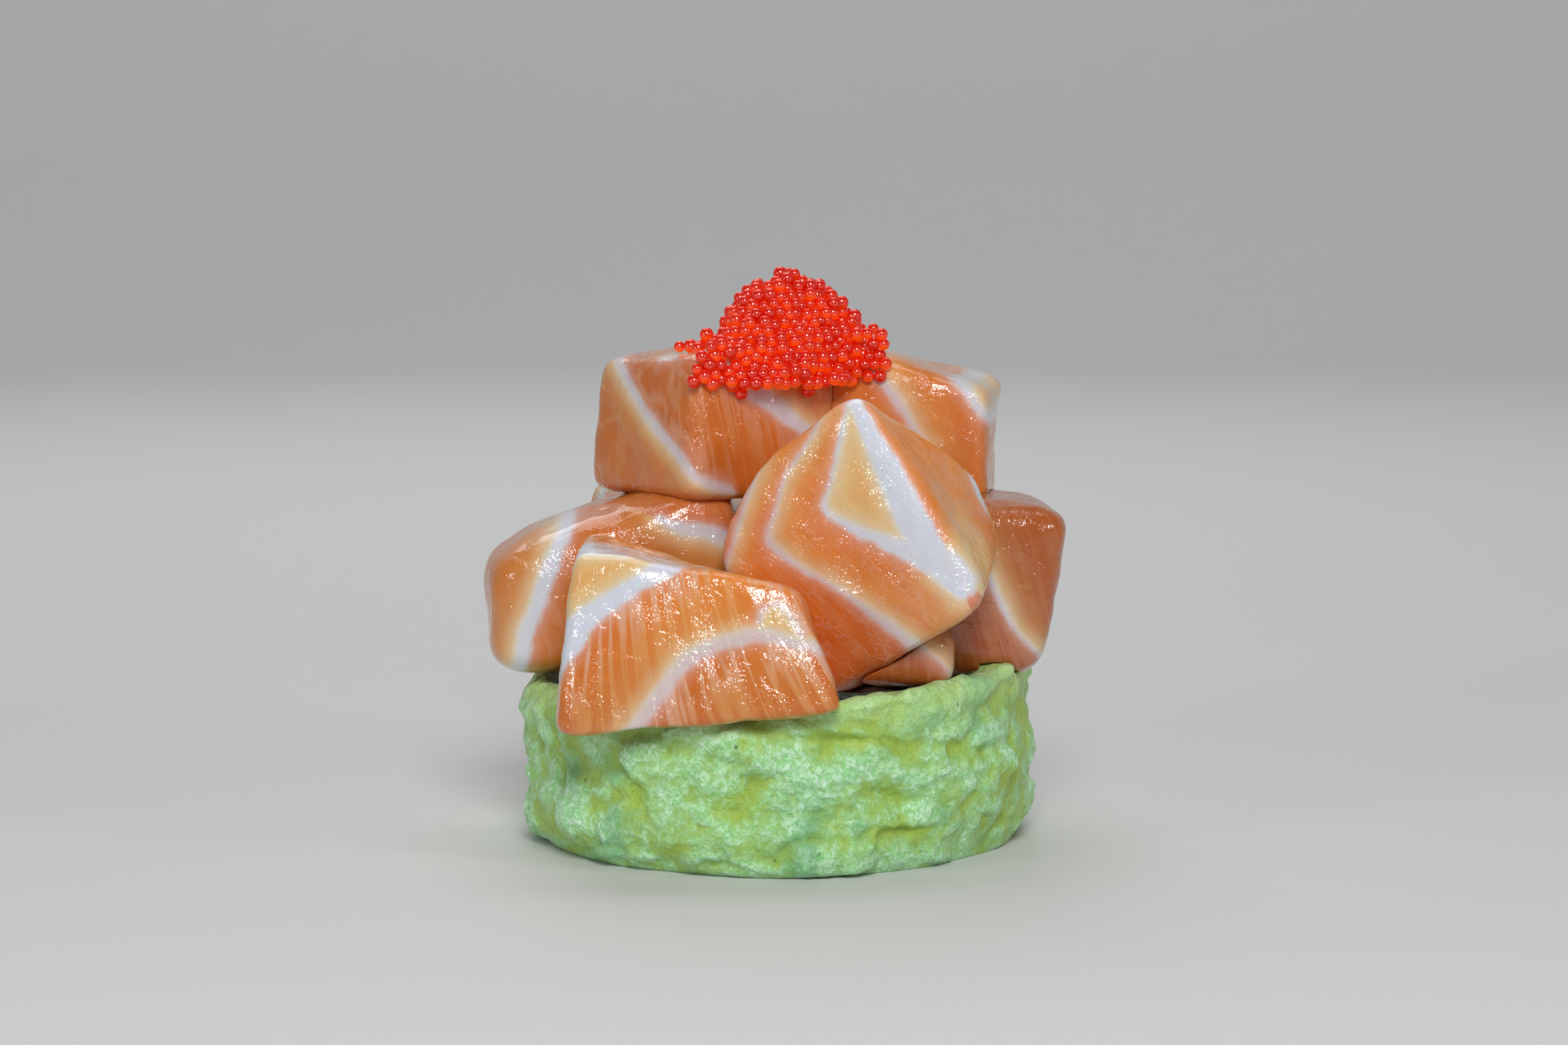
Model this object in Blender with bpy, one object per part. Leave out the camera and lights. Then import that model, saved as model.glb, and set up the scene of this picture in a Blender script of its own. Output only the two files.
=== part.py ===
"""Salmon tempura futomaki: one slice of a battered, fried roll standing on its cut face, heaped with
blocks of raw salmon and a cone of flying fish roe.

The roll is three solids, each inside the next: a lumpy ring of green batter, a thin ring of seaweed
and a core of rice. The salmon is nine rounded blocks that rest on the roll and on each other. The roe
is one solid out to its uneven outline. The origin is under the middle of the object, on the surface
that it stands on. The front faces -Y.
"""

import math

import bmesh
import bpy
import numpy as np
from mathutils import Euler

MM = 0.001  # the dimensions below are millimetres, and Blender's unit is the metre

# The roll
ROLL_CENTRE = (0.6, 0.0)
ROLL_RADIUS = 27.0  # to the middle of the batter's lumps
RIM_HEIGHT = 18.1  # the batter's cut edge, on average
RIM_TILT = 1.1  # the rim is this much higher on its high side, and as much lower opposite
RIM_HIGH_SIDE = math.radians(-35)
RIM_WAVE = 0.35
RIM_ROUNDING = 1.5  # how far the rim's outer edge is rounded in
RIM_INNER_DROP = 0.5  # the rim slopes down this much from its outer edge to its inner one
BATTER_THICKNESS = 3.4
BATTER_LUMP = 0.6
BATTER_FOLD = 0.2  # how deep the folds run that go round the side
FOOT_ROUNDING = 2.2  # how far the batter's lower edge curves in
FOOT_RAGGED = 0.9  # how far that edge lifts off the surface between its low spots
SIDE_RINGS = (0.16, 0.3, 0.44, 0.58, 0.72, 0.86)  # where the side's rings lie, from the foot to the rim
SEAWEED_THICKNESS = 0.6
SEAWEED_ABOVE_RICE = 0.9
SEAWEED_WAVE = 0.25
RICE_TOP = 17.6
RICE_LUMP = 0.35
RICE_EDGE_DROP = 0.5  # the rice is this much lower at its edge
LAYER_GAP = 0.3  # between batter, seaweed and rice
REST_GAP = 0.35  # what a salmon block and the roe keep to the solids that they rest on

# The roe
ROE_FOOT = 48.3  # inside the salmon, which the heap is cut to
ROE_FOOT_CENTRE = (0.4, 3.0)
ROE_TOP = 61.0
ROE_TOP_CENTRE = (3.1, 2.4)
ROE_WIDTH = 25.0  # along the edge that it hangs over, at the foot
ROE_DEPTH = 16.6
ROE_TURN = math.radians(33)
ROE_BLUNT = 0.15  # how wide the top is, of the foot's width
ROE_SKIRT = 0.24  # up to this share of its height the heap is as wide as at the foot
ROE_HOLLOW = 0.85  # 1 makes the heap's sides straight, and less bends them in
ROE_SQUARE = 3  # 2 makes the foot an ellipse, and more a rounder-cornered box
ROE_LUMP = 0.12
ROE_RISES = (0.0, 0.14, 0.28, 0.42, 0.56, 0.7, 0.84, 0.97)  # where its rings lie, from the foot to the top

# Mesh fineness
ROLL_STEPS = 64
BLOCK_STEPS = 6
ROE_STEPS = 28

SWELL_WIDTH = 0.5  # of a swelling on a salmon block, where the block's half edge is 1

# Each salmon block has a centre, its three edge lengths, its turn about X, Y and Z in degrees, and how
# square it is: 4 is a pebble, 12 nearly a brick. A pull moves one corner, named by its side on each of the
# block's own axes, and what lies between the corners goes with it. A swell moves what is near a spot of
# the block, named in the same way. A block is cut to the roll and to the blocks that it rests on or leans
# against, which keep their shape.
SALMON = {
    "salmon_front_left": {
        "centre": (-8.5, -19.3, 25.2),
        "size": (29.0, 17.0, 17.5),
        "turn": (-4, 1, -4),
        "square": 9,
        "pulls": {
            (-1, -1, -1): (2.0, -0.5, -3.0),
            (-1, -1, 1): (3.0, 2.0, -1.0),
            (-1, 1, 1): (3.0, 0.0, 1.0),
            (1, -1, -1): (2.5, -1.5, 0.8),
            (1, -1, 1): (-3.0, 1.0, -3.8),
            (1, 1, 1): (-3.0, 0.0, -6.6),
        },
        "rests_on": [],
    },
    "salmon_front_right": {
        "centre": (9.3, -11.4, 32.1),
        "size": (25.5, 15.0, 27.0),
        "turn": (0, -33, -27),
        "square": 11,
        "pulls": {
            (-1, -1, 1): (-1.0, 0.0, -8.0),
            (-1, 1, 1): (3.5, 0.0, -4.5),
            (-1, -1, -1): (2.5, 0.0, 1.0),
            (-1, 1, -1): (2.0, 0.0, 1.0),
            (1, 1, 1): (-4.5, 0.0, -4.0),
            (1, 1, -1): (-1.0, 0.0, 7.0),
            (1, -1, -1): (0.5, 0.0, -0.8),
            (1, -1, 1): (0.4, 0.0, 0.8),
        },
        "swells": {(1, 1, 0): (1.8, 1.8, 0.0), (-0.2, -1, 1): (0.0, 0.0, 3.4)},
        "rests_on": ["salmon_front_left"],
    },
    "salmon_right": {
        "centre": (20.9, -1.0, 28.0),
        "size": (22.5, 20.0, 20.0),
        "turn": (0, 0, 10),
        "square": 8,
        "pulls": {
            (1, -1, -1): (-5.0, 0.0, 0.0),
            (1, 1, -1): (-4.5, 0.0, 0.0),
            (1, -1, 1): (-1.0, 0.0, -2.0),
            (1, 1, 1): (-1.0, 0.0, -1.5),
        },
        "rests_on": ["salmon_front_right"],
    },
    "salmon_left": {
        "centre": (-20.5, 1.0, 28.1),
        "size": (34.5, 18.0, 19.8),
        "turn": (0, -6, 5),
        "square": 5,
        "pulls": {
            (-1, -1, -1): (6.5, 0.0, 0.6),
            (-1, 1, -1): (6.0, 0.0, 0.2),
            (-1, -1, 1): (7.0, 0.0, -6.5),
            (-1, 1, 1): (7.0, 0.0, -6.0),
        },
        "swells": {(-0.2, 0, 1): (0.0, 0.0, 0.8)},
        "rests_on": ["salmon_front_left"],
    },
    "salmon_top_left": {
        "centre": (-3.6, 5.9, 44.8),
        "size": (24.0, 20.0, 16.6),
        "turn": (0, 0, 33),
        "square": 9,
        "pulls": {
            (-1, -1, 1): (0.5, 0.0, -0.5),
            (-1, 1, -1): (-1.5, 0.5, 0.0),
            (-1, 1, 1): (-0.5, 0.0, -2.0),
        },
        "rests_on": ["salmon_front_left", "salmon_front_right", "salmon_left"],
    },
    "salmon_top_right": {
        "centre": (15.0, 8.0, 44.0),
        "size": (19.0, 18.0, 17.0),
        "turn": (0, 0, -10),
        "square": 9,
        "pulls": {(1, -1, 1): (0.3, 0.0, -4.5), (1, 1, 1): (0.0, 0.0, -4.0)},
        "swells": {(-0.3, -0.5, 1): (0.0, -0.4, 0.9), (1, 1, -0.2): (-1.4, -1.4, 0.0)},
        "rests_on": ["salmon_front_right", "salmon_right", "salmon_top_left"],
    },
    "salmon_under_right": {
        "centre": (13.7, -14.0, 21.2),
        "size": (10.5, 10.0, 6.0),
        "turn": (0, 0, 0),
        "square": 4,
        "pulls": {},
        "rests_on": ["salmon_front_left", "salmon_front_right", "salmon_right"],
    },
    "salmon_back_left": {
        "centre": (-9.0, 19.5, 26.5),
        "size": (22.0, 17.0, 17.0),
        "turn": (8, 3, 14),
        "square": 8,
        "pulls": {},
        "rests_on": ["salmon_left", "salmon_top_left", "salmon_top_right"],
    },
    "salmon_back_right": {
        "centre": (13.0, 19.3, 27.0),
        "size": (20.0, 17.0, 18.0),
        "turn": (6, -4, -16),
        "square": 8,
        "pulls": {},
        "rests_on": ["salmon_right", "salmon_top_left", "salmon_top_right", "salmon_back_left"],
    },
}

ROE_RESTS_ON = ["salmon_top_left", "salmon_top_right", "salmon_front_right"]

TURN_AROUND = np.linspace(0, 2 * math.pi, ROLL_STEPS, endpoint=False)


def clear_scene():
    for obj in list(bpy.data.objects):
        bpy.data.objects.remove(obj, do_unlink=True)


def material(name, colour, roughness):
    mat = bpy.data.materials.new(name)
    mat.use_nodes = True
    shader = mat.node_tree.nodes["Principled BSDF"]
    shader.inputs["Base Color"].default_value = (*colour, 1.0)
    shader.inputs["Roughness"].default_value = roughness
    shader.inputs["Metallic"].default_value = 0.0
    return mat


def add_object(name, points_mm, faces, mat, cutter=False):
    """A closed mesh object. A cutter is only a tool for the Booleans, so it is left out of renders."""
    mesh = bpy.data.meshes.new(name)
    mesh.from_pydata([tuple(p) for p in np.asarray(points_mm) * MM], [], [tuple(map(int, f)) for f in faces])
    shape = bmesh.new()
    shape.from_mesh(mesh)
    bmesh.ops.remove_doubles(shape, verts=shape.verts, dist=0.01 * MM)
    bmesh.ops.recalc_face_normals(shape, faces=shape.faces)
    shape.to_mesh(mesh)
    shape.free()
    mesh.shade_smooth()
    obj = bpy.data.objects.new(name, mesh)
    bpy.context.scene.collection.objects.link(obj)
    if cutter:
        obj.hide_render = True
        obj.display_type = "WIRE"
    else:
        mesh.materials.append(mat)
    return obj


def cut_by(obj, cutter):
    cut = obj.modifiers.new("clear_of_" + cutter.name, "BOOLEAN")
    cut.operation = "DIFFERENCE"
    cut.solver = "EXACT"
    cut.object = cutter


def ring_faces(rows, columns):
    """Quads of a grid that closes on itself both ways. The last row joins the last ring to the first."""
    i, j = np.meshgrid(np.arange(rows), np.arange(columns), indexing="ij")
    down, right = (i + 1) % rows, (j + 1) % columns
    corners = [i * columns + j, down * columns + j, down * columns + right, i * columns + right]
    return np.stack(corners, -1).reshape(-1, 4)


def lump_mesh(rings, low, high):
    """Points and faces of a lump: rings from the lowest up, closed by fans round a low and a high point."""
    count, around = len(rings), len(rings[0])
    faces = [tuple(quad) for quad in ring_faces(count, around)[:-around]]
    low_index, high_index = count * around, count * around + 1
    for j in range(around):
        after = (j + 1) % around
        faces.append((low_index, after, j))
        faces.append((high_index, low_index - around + j, low_index - around + after))
    return np.concatenate([*rings, [low], [high]]), faces


def waves(angle, seed, orders=(3, 5, 8, 13)):
    """A smooth uneven run round the circle, from about -1 to 1: sines, each order weaker than the last."""
    phases = np.random.default_rng(seed).uniform(0, 2 * math.pi, len(orders))
    strengths = 1 / np.sqrt(np.arange(1, len(orders) + 1))
    total = sum(s * np.sin(n * angle + p) for n, p, s in zip(orders, phases, strengths))
    return total / strengths.sum()


def rim_height(angle):
    return RIM_HEIGHT + RIM_TILT * np.cos(angle - RIM_HIGH_SIDE) + RIM_WAVE * waves(angle, 11)


def seaweed_top(angle):
    return RICE_TOP + SEAWEED_ABOVE_RICE + SEAWEED_WAVE * waves(angle, 41)


def batter_radius(angle, height):
    """The batter's outer radius: a near circle, lumpy round the ring and up it, with folds that go round."""
    lumps = waves(angle + 0.06 * height, 44) + 0.8 * waves(angle - 0.11 * height, 116, (4, 7, 11))
    folds = np.sin(0.62 * height + 2.0 * np.sin(angle + 0.8) + 0.9)
    return ROLL_RADIUS + BATTER_LUMP * lumps + BATTER_FOLD * folds


def roll_ring(radius, height):
    """One ring of points round the roll's axis. Its radius and height are numbers, or run round the ring."""
    x = ROLL_CENTRE[0] + radius * np.cos(TURN_AROUND)
    y = ROLL_CENTRE[1] + radius * np.sin(TURN_AROUND)
    return np.stack([x, y, height + 0 * TURN_AROUND], -1)


def rim_rings(gap=0.0):
    """The two rings that round the rim's outer edge, grown outwards and upwards by the gap."""
    rim = rim_height(TURN_AROUND)
    outer = batter_radius(TURN_AROUND, rim)
    return [
        roll_ring(outer - 0.25 * RIM_ROUNDING + gap, rim - 0.4 * RIM_ROUNDING + 0.5 * gap),
        roll_ring(outer - RIM_ROUNDING, rim + gap),
    ]


def batter(mat):
    """A ring. Its section runs from the inner foot round the outer one, up the side and over the rim."""
    inner = ROLL_RADIUS - BATTER_THICKNESS
    rim = rim_height(TURN_AROUND)
    lift = FOOT_RAGGED * (0.5 + 0.5 * waves(TURN_AROUND, 31))
    section = [
        roll_ring(inner, 0),
        roll_ring(batter_radius(TURN_AROUND, 0) - FOOT_ROUNDING, 0),
        roll_ring(batter_radius(TURN_AROUND, 1) - 0.4 * FOOT_ROUNDING, lift + 0.35 * FOOT_ROUNDING),
    ]
    for share in SIDE_RINGS:
        height = lift + share * (rim - lift)
        section.append(roll_ring(batter_radius(TURN_AROUND, height), height))
    section += [*rim_rings(), roll_ring(inner, rim - RIM_INNER_DROP)]
    add_object("batter", np.concatenate(section), ring_faces(len(section), ROLL_STEPS), mat)


def seaweed(mat):
    """The thin ring between batter and rice, its upper edge standing a little above the rice."""
    outer = ROLL_RADIUS - BATTER_THICKNESS - LAYER_GAP
    inner = outer - SEAWEED_THICKNESS
    top = seaweed_top(TURN_AROUND)
    section = [roll_ring(inner, 0), roll_ring(outer, 0), roll_ring(outer, top), roll_ring(inner, top)]
    add_object("seaweed", np.concatenate(section), ring_faces(len(section), ROLL_STEPS), mat)


def rice(mat):
    """The core: a flat foot, a straight side and a lumpy top, whose last two rings are nearer the middle."""
    radius = ROLL_RADIUS - BATTER_THICKNESS - SEAWEED_THICKNESS - 2 * LAYER_GAP
    rings = [
        roll_ring(radius, 0),
        roll_ring(radius, RICE_TOP - RICE_EDGE_DROP + RICE_LUMP * waves(TURN_AROUND, 100)),
        roll_ring(0.78 * radius, RICE_TOP + RICE_LUMP * waves(TURN_AROUND, 78)),
        roll_ring(0.5 * radius, RICE_TOP + RICE_LUMP * waves(TURN_AROUND, 50)),
    ]
    add_object("rice", *lump_mesh(rings, (*ROLL_CENTRE, 0), (*ROLL_CENTRE, RICE_TOP)), mat)


def roll_cutter():
    """The whole roll, rim and all, grown by the gap, so that what rests on the roll is cut clear of it."""
    rim = rim_height(TURN_AROUND)
    edge = seaweed_top(TURN_AROUND)
    lip = ROLL_RADIUS - BATTER_THICKNESS - REST_GAP
    rings = []
    for share in (0.0, *SIDE_RINGS):
        rings.append(roll_ring(batter_radius(TURN_AROUND, share * rim) + REST_GAP, share * rim))
    rings += rim_rings(REST_GAP)
    rings += [
        roll_ring(lip, np.maximum(rim - RIM_INNER_DROP, edge) + REST_GAP),
        roll_ring(lip - 2 * SEAWEED_THICKNESS, edge + REST_GAP),
        roll_ring(lip - 4 * SEAWEED_THICKNESS, RICE_TOP + RICE_LUMP + REST_GAP),
    ]
    top = (*ROLL_CENTRE, RICE_TOP + RICE_LUMP + REST_GAP)
    return add_object("cutter_roll", *lump_mesh(rings, (*ROLL_CENTRE, 0), top), None, cutter=True)


def cube_grid(steps):
    """Points on the cube from -1 to 1, a square grid on each of its six sides, and the quads between them."""
    side = steps + 1
    u, v = np.meshgrid(np.linspace(-1, 1, side), np.linspace(-1, 1, side), indexing="ij")
    i, j = np.meshgrid(np.arange(steps), np.arange(steps), indexing="ij")
    first = i * side + j
    quads = np.stack([first, first + side, first + side + 1, first + 1], -1).reshape(-1, 4)
    points, faces = [], []
    for axis in range(3):
        for end in (-1, 1):
            face = np.empty((side, side, 3))
            face[..., axis] = end
            face[..., (axis + 1) % 3] = u
            face[..., (axis + 2) % 3] = v
            faces.append(quads + len(points) * side * side)
            points.append(face.reshape(-1, 3))
    return np.concatenate(points), np.concatenate(faces)


def block_points(block, grid, grow=0.0):
    """A rounded block: the cube's points drawn in to a superellipsoid of the block's squareness, stretched
    to its size, moved by its corners' pulls, which fade linearly from corner to corner, and by its swells,
    which fade as a bell curve, then turned and put in place."""
    square = block["square"]
    unit = grid * ((np.abs(grid) ** square).sum(1, keepdims=True) ** (-1 / square))
    local = unit * (np.array(block["size"]) / 2 + grow)
    for corner, pull in block["pulls"].items():
        share = np.prod((1 + unit * np.array(corner)) / 2, axis=1, keepdims=True)
        local = local + share * np.array(pull)
    for spot, move in block.get("swells", {}).items():
        near = np.exp(-((unit - np.array(spot)) ** 2).sum(1, keepdims=True) / (2 * SWELL_WIDTH**2))
        local = local + near * np.array(move)
    turn = np.array(Euler([math.radians(degrees) for degrees in block["turn"]], "XYZ").to_matrix())
    return local @ turn.T + np.array(block["centre"])


def salmon(mat, roll):
    """The blocks, each cut to the roll and to the blocks that it rests on. Returns the blocks' cutters."""
    grid, faces = cube_grid(BLOCK_STEPS)
    cutters = {}
    for name, block in SALMON.items():
        grown = block_points(block, grid, REST_GAP)
        cutters[name] = add_object("cutter_" + name, grown, faces, None, cutter=True)
    for name, block in SALMON.items():
        piece = add_object(name, block_points(block, grid), faces, mat)
        cut_by(piece, roll)
        for other in block["rests_on"]:
            cut_by(piece, cutters[other])
    return cutters


def roe(mat, cutters):
    """The heap: a cone whose sides bend in to a blunt top, uneven all over, cut to the salmon underneath."""
    angle = np.linspace(0, 2 * math.pi, ROE_STEPS, endpoint=False)
    foot, top = np.array([*ROE_FOOT_CENTRE, ROE_FOOT]), np.array([*ROE_TOP_CENTRE, ROE_TOP])
    box = (np.abs(np.cos(angle)) ** ROE_SQUARE + np.abs(np.sin(angle)) ** ROE_SQUARE) ** (-1 / ROE_SQUARE)
    rings = []
    for ring, rise in enumerate(ROE_RISES):
        spread = 1 - (1 - ROE_BLUNT) * (max(rise - ROE_SKIRT, 0) / (1 - ROE_SKIRT)) ** ROE_HOLLOW
        uneven = spread * (1 + ROE_LUMP * waves(angle + 1.3 * rise, 51 + ring, (2, 3, 5, 7)))
        along = 0.5 * ROE_WIDTH * uneven * box * np.cos(angle)
        across = 0.5 * ROE_DEPTH * uneven * box * np.sin(angle)
        middle = foot + rise * (top - foot)
        x = middle[0] + along * math.cos(ROE_TURN) - across * math.sin(ROE_TURN)
        y = middle[1] + along * math.sin(ROE_TURN) + across * math.cos(ROE_TURN)
        rings.append(np.stack([x, y, middle[2] + 0 * angle], -1))
    heap = add_object("roe", *lump_mesh(rings, foot, top), mat)
    for other in ROE_RESTS_ON:
        cut_by(heap, cutters[other])


def main():
    clear_scene()
    batter(material("batter", (0.40, 0.55, 0.24), 0.6))
    seaweed(material("seaweed", (0.01, 0.02, 0.015), 0.5))
    rice(material("rice", (0.75, 0.74, 0.68), 0.45))
    cutters = salmon(material("salmon", (0.80, 0.27, 0.09), 0.3), roll_cutter())
    roe(material("roe", (0.80, 0.03, 0.01), 0.2), cutters)


main()
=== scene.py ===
"""Salmon tempura futomaki, the looks: one slice of a battered, fried roll heaped with raw salmon and roe.

Sizes and places are millimetres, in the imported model's frame, and become metres when a mesh is made.
Every piece is a surface worked out with numpy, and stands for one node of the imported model.
"""

import itertools
import math

import bpy
import numpy as np
from bpy.props import FloatProperty, FloatVectorProperty, IntProperty, PointerProperty
from mathutils import Euler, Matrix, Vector


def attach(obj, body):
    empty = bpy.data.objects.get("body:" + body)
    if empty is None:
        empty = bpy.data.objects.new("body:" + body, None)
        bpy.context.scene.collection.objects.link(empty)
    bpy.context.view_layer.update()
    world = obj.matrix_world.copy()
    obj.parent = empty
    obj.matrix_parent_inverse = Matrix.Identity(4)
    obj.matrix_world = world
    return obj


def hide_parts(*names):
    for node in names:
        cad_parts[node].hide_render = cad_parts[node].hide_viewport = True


bl_info = {
    "name": "Salmon tempura futomaki",
    "version": (1, 0, 0),
    "blender": (4, 5, 0),
    "location": "3D View > Sidebar > Futomaki",
    "description": "Builds a battered futomaki slice heaped with salmon and roe",
    "category": "Add Mesh",
}

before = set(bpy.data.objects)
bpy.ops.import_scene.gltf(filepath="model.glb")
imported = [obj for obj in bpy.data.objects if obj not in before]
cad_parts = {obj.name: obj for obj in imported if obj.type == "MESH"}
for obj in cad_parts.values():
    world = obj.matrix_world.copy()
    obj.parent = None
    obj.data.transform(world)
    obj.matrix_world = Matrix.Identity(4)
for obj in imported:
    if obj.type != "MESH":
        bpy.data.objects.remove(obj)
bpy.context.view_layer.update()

MM = 0.001

# The roll
ROLL_CENTRE = (0.6, 0.0)
ROLL_RADIUS = 27.0
RIM_HEIGHT = 18.1
RIM_TILT = 1.1
RIM_HIGH_SIDE = math.radians(-35)
RIM_WAVE = 0.35
RIM_ROUNDING = 1.5
RIM_DENT = 0.9
RIM_DENT_SIDE = math.radians(-76)
RIM_DENT_WIDTH = 0.13  # in radians, as the knob's
RIM_KNOB = 0.8
RIM_KNOB_SIDE = math.radians(-25)
RIM_KNOB_WIDTH = 0.07
RIM_INNER_DROP = 0.5
RIM_OUTER_DROP = 0.6  # how far the rim has rounded down where the batter's side begins
BATTER_THICKNESS = 3.4
BATTER_LUMP = 0.6
BATTER_FOLD = 0.2
FOOT_ROUNDING = 2.2
FOOT_RAGGED = 0.9
FOOT_NICKS = 0.9  # how deep the small nicks in the lower edge are
FOOT_LIFT = 1.6  # how much the lower edge lifts off along one stretch
FOOT_LIFT_SIDE = (math.radians(-68), math.radians(-20))
FOOT_LIFT_ENDS = (0.05, 0.3)  # how slowly that stretch starts and ends, in radians
SIDE_RINGS = (0.16, 0.3, 0.44, 0.58, 0.72, 0.86)  # their places, as shares of the side's height
DRAG_SIZE = 8.0  # of the noise that drags the batter's lumps round the roll
DRAG_LENGTH = 1.8
LUMP_STRETCH = (0.8, 0.8, 1.3)
LUMP_SIZES = (6.0, 2.4)
SMALL_LUMPS = 0.36  # how strong the small lumps are, of the large ones
CRUMB_SIZE = 1.3
LIP_REACH = 2.5
RELIEF_START = (0.3, 1.5)  # how far from the inner wall the relief sets in and is full
RELIEF_FOOT = 1.2  # how high above the foot it is full
BATTER_GIVES = 0.8  # the share of its radius that a block presses the batter in to, at most
SEAWEED_THICKNESS = 0.6
SEAWEED_ABOVE_RICE = 0.9
SEAWEED_WAVE = 0.25
SEAWEED_NICKS = 0.2
SEAWEED_CRINKLE = 0.12
SEAWEED_STEPS = (480, 24)  # round the roll and up it
RICE_STEPS = 96
RICE_TOP = 17.6
RICE_RADIUS = 22.4
RICE_PROUD = 0.3  # how far the top grains may stand above the rice's top
RICE_CLEAR = 0.35  # how far above it a salmon block stays
RICE_CORE_FOOT = 0.5
RICE_CORE_DROP = 0.9  # from the rice's top down to its core's
LAYER_GAP = 0.3
GRAIN_HALVES = (0.5, 0.21, 0.19)  # half axes, in grain lengths, as the next two
GRAIN_PITCH = 0.52
GRAIN_MARGIN = 0.45
GRAIN_SHAKE = 0.25  # how far a grain is moved off its lattice, in pitches across and in mm up
GRAIN_LAYERS = (RICE_TOP - 1.0, 0.7)  # their heights
GRAIN_TILT = 0.16  # in radians
GRAIN_SIZES = (0.85, 1.1)
TRIANGLE_ROWS = 0.866  # between the rows of a triangular lattice, in pitches

# The roe
ROE_FOOT = 48.3
ROE_FOOT_CENTRE = (1.7, 2.6)
ROE_TOP = 61.0
ROE_TOP_CENTRE = (1.9, 2.3)
ROE_WIDTH = 22.5
ROE_DEPTH = 16.0
ROE_TURN = math.radians(33)
ROE_BULGE = 0.62  # 1 makes the heap's sides straight, and less bulges them out
ROE_SQUARE = 3
ROE_LUMP = 0.16
ROE_LOWEST = 48.8  # the lowest egg's centre
ROE_BLOCKS = ("salmon_top_left", "salmon_top_right", "salmon_front_right")
ROE_CORE = 0.76  # the core's width, of the heap's
CORE_GAPS = (1.0, 3.0)  # from the heap's foot and its top to the core's
CORE_MIDDLE = 4.5  # above the heap's foot
CORE_FAR = 16.0  # a radius that is outside the heap all round
# The eggs, in egg radii: the pitch that they are first laid at, how far inside the heap's surface the two
# layers lie, their sizes, and how near to a block's face their centres come, in the heap and hanging
EGG_PITCH = 1.7
EGG_LAYERS = (0.9, 2.5)
EGG_SIZES = (0.88, 1.14)
EGG_TO_BLOCK = (0.35, 0.75)
EGG_CLOSE = 0.8  # how near two centres should be, of the sum of their radii
EGG_SQUEEZED = 0.6  # nearer than this share of that, one of the two is left out
EGG_PUSH = 0.25  # how much of an overlap each of the two gives way in a round
EGG_ROWS = 0.76  # between the heap's rings of eggs, in pitches, and the apron's
APRON_ROWS = 0.87
EGG_SHAKE = 0.17  # in pitches
EGG_RISE = 12.0  # how far up an egg may be moved to come clear of the salmon, in millimetres
# The apron, the eggs that hang over the front edges of the two upper blocks
APRON_ENDS = (-7.6, 12.0)
APRON_TOP = 53.0
APRON_SHAKE = 0.25
APRON_RAISED = (5.0, 0.9)  # right of the first number, the eggs hang higher by the second
APRON_FRONTS = [(-8.2, -9.0, 0.649), (4.1, 0.8, -0.176)]  # seen from above: a place (x, y) and the slope
APRON_STANDOFF = (0.6, 1.1)  # in egg radii
APRON_DEPTH = 4.0  # how far behind its front a block's face is looked for
LOOSE_EGGS = [
    (-3.4, 1.0, 57.7), (-2.6, 1.6, 58.5), (10.9, 3.0, 54.3), (9.6, 3.0, 53.8), (-9.8, -2.2, 52.7),
    (-8.6, -2.6, 52.8), (-7.5, -2.9, 52.9), (-6.4, -3.2, 53.0), (-6.9, -2.6, 54.0), (0.9, 1.9, 60.3),
    (2.4, 1.7, 60.25), (1.7, 3.0, 60.2), (0.5, 1.1, 59.4), (-3.2, -6.4, 48.0), (3.9, -2.0, 48.0),
]

SALMON_LUMP = 8.0  # the width of the soft lumps on a salmon block
SWELL_WIDTH = 0.5  # of a swelling on it, where the block's half edge is 1
TOUCH_GAP = -0.08  # a salmon block sinks this deep into what it is pressed against
FIBRE_RELIEF = 0.03  # how far the salmon's fibres and its net stand proud
NO_SHEET = 9.0  # as far off as a fat sheet is noticed
SHEET_END = 0.6  # the share of a sheet's reach at which it starts to thin out
PALE_FLESH = (0.45, 1.8)  # how pale the flesh is on a sheet's pale side, and how far that reaches
RED_REACH = 2.5
SIDE_BLEND = 0.7  # between two sheets, the distance over which the nearer one's side takes over

# Creases in the batter's side: the path as (degrees round the roll, height), the depth, the width and how
# far the batter stands proud along the crease's left, looking from its start to its end.
CREASES = [
    {"deep": 0.7, "wide": 1.1, "lip": 0.4, "path": [
        (-80, 14.6), (-67, 13.7), (-60, 12.6), (-52, 12.5), (-40, 12.1), (-24, 12.4),
    ]},
    {"deep": 0.45, "wide": 0.9, "lip": 0.55, "path": [
        (-118, 15.0), (-125, 14.3), (-128, 12.1), (-125, 9.8), (-121, 7.6),
    ]},
    {"deep": 0.4, "wide": 1.0, "lip": 0.15, "path": [
        (-106, 13.2), (-101, 12.3), (-97, 11.4), (-95.5, 9.0), (-98, 7.6), (-108, 5.9),
    ]},
    {"deep": 0.45, "wide": 0.9, "lip": 0.2, "path": [
        (-88, 3.6), (-82, 4.6), (-75, 3.8), (-69, 4.4), (-58, 4.8),
    ]},
    {"deep": 0.4, "wide": 1.0, "lip": 0.2, "path": [(-38, 12.0), (-36.5, 9.8), (-39, 7.8), (-35, 4.2)]},
    {"deep": 0.4, "wide": 1.1, "lip": 0.2, "path": [(-150, 12.0), (-146, 8.0), (-149, 4.0)]},
    {"deep": 0.6, "wide": 1.1, "lip": 0.3, "path": [(10, 13.0), (30, 11.5), (48, 12.5), (66, 10.5)]},
    {"deep": 0.5, "wide": 1.0, "lip": 0.3, "path": [(86, 5.0), (100, 6.5), (118, 5.0), (134, 7.5)]},
    {"deep": 0.6, "wide": 1.1, "lip": 0.3, "path": [(150, 13.5), (170, 12.0), (188, 13.0)]},
]

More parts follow.
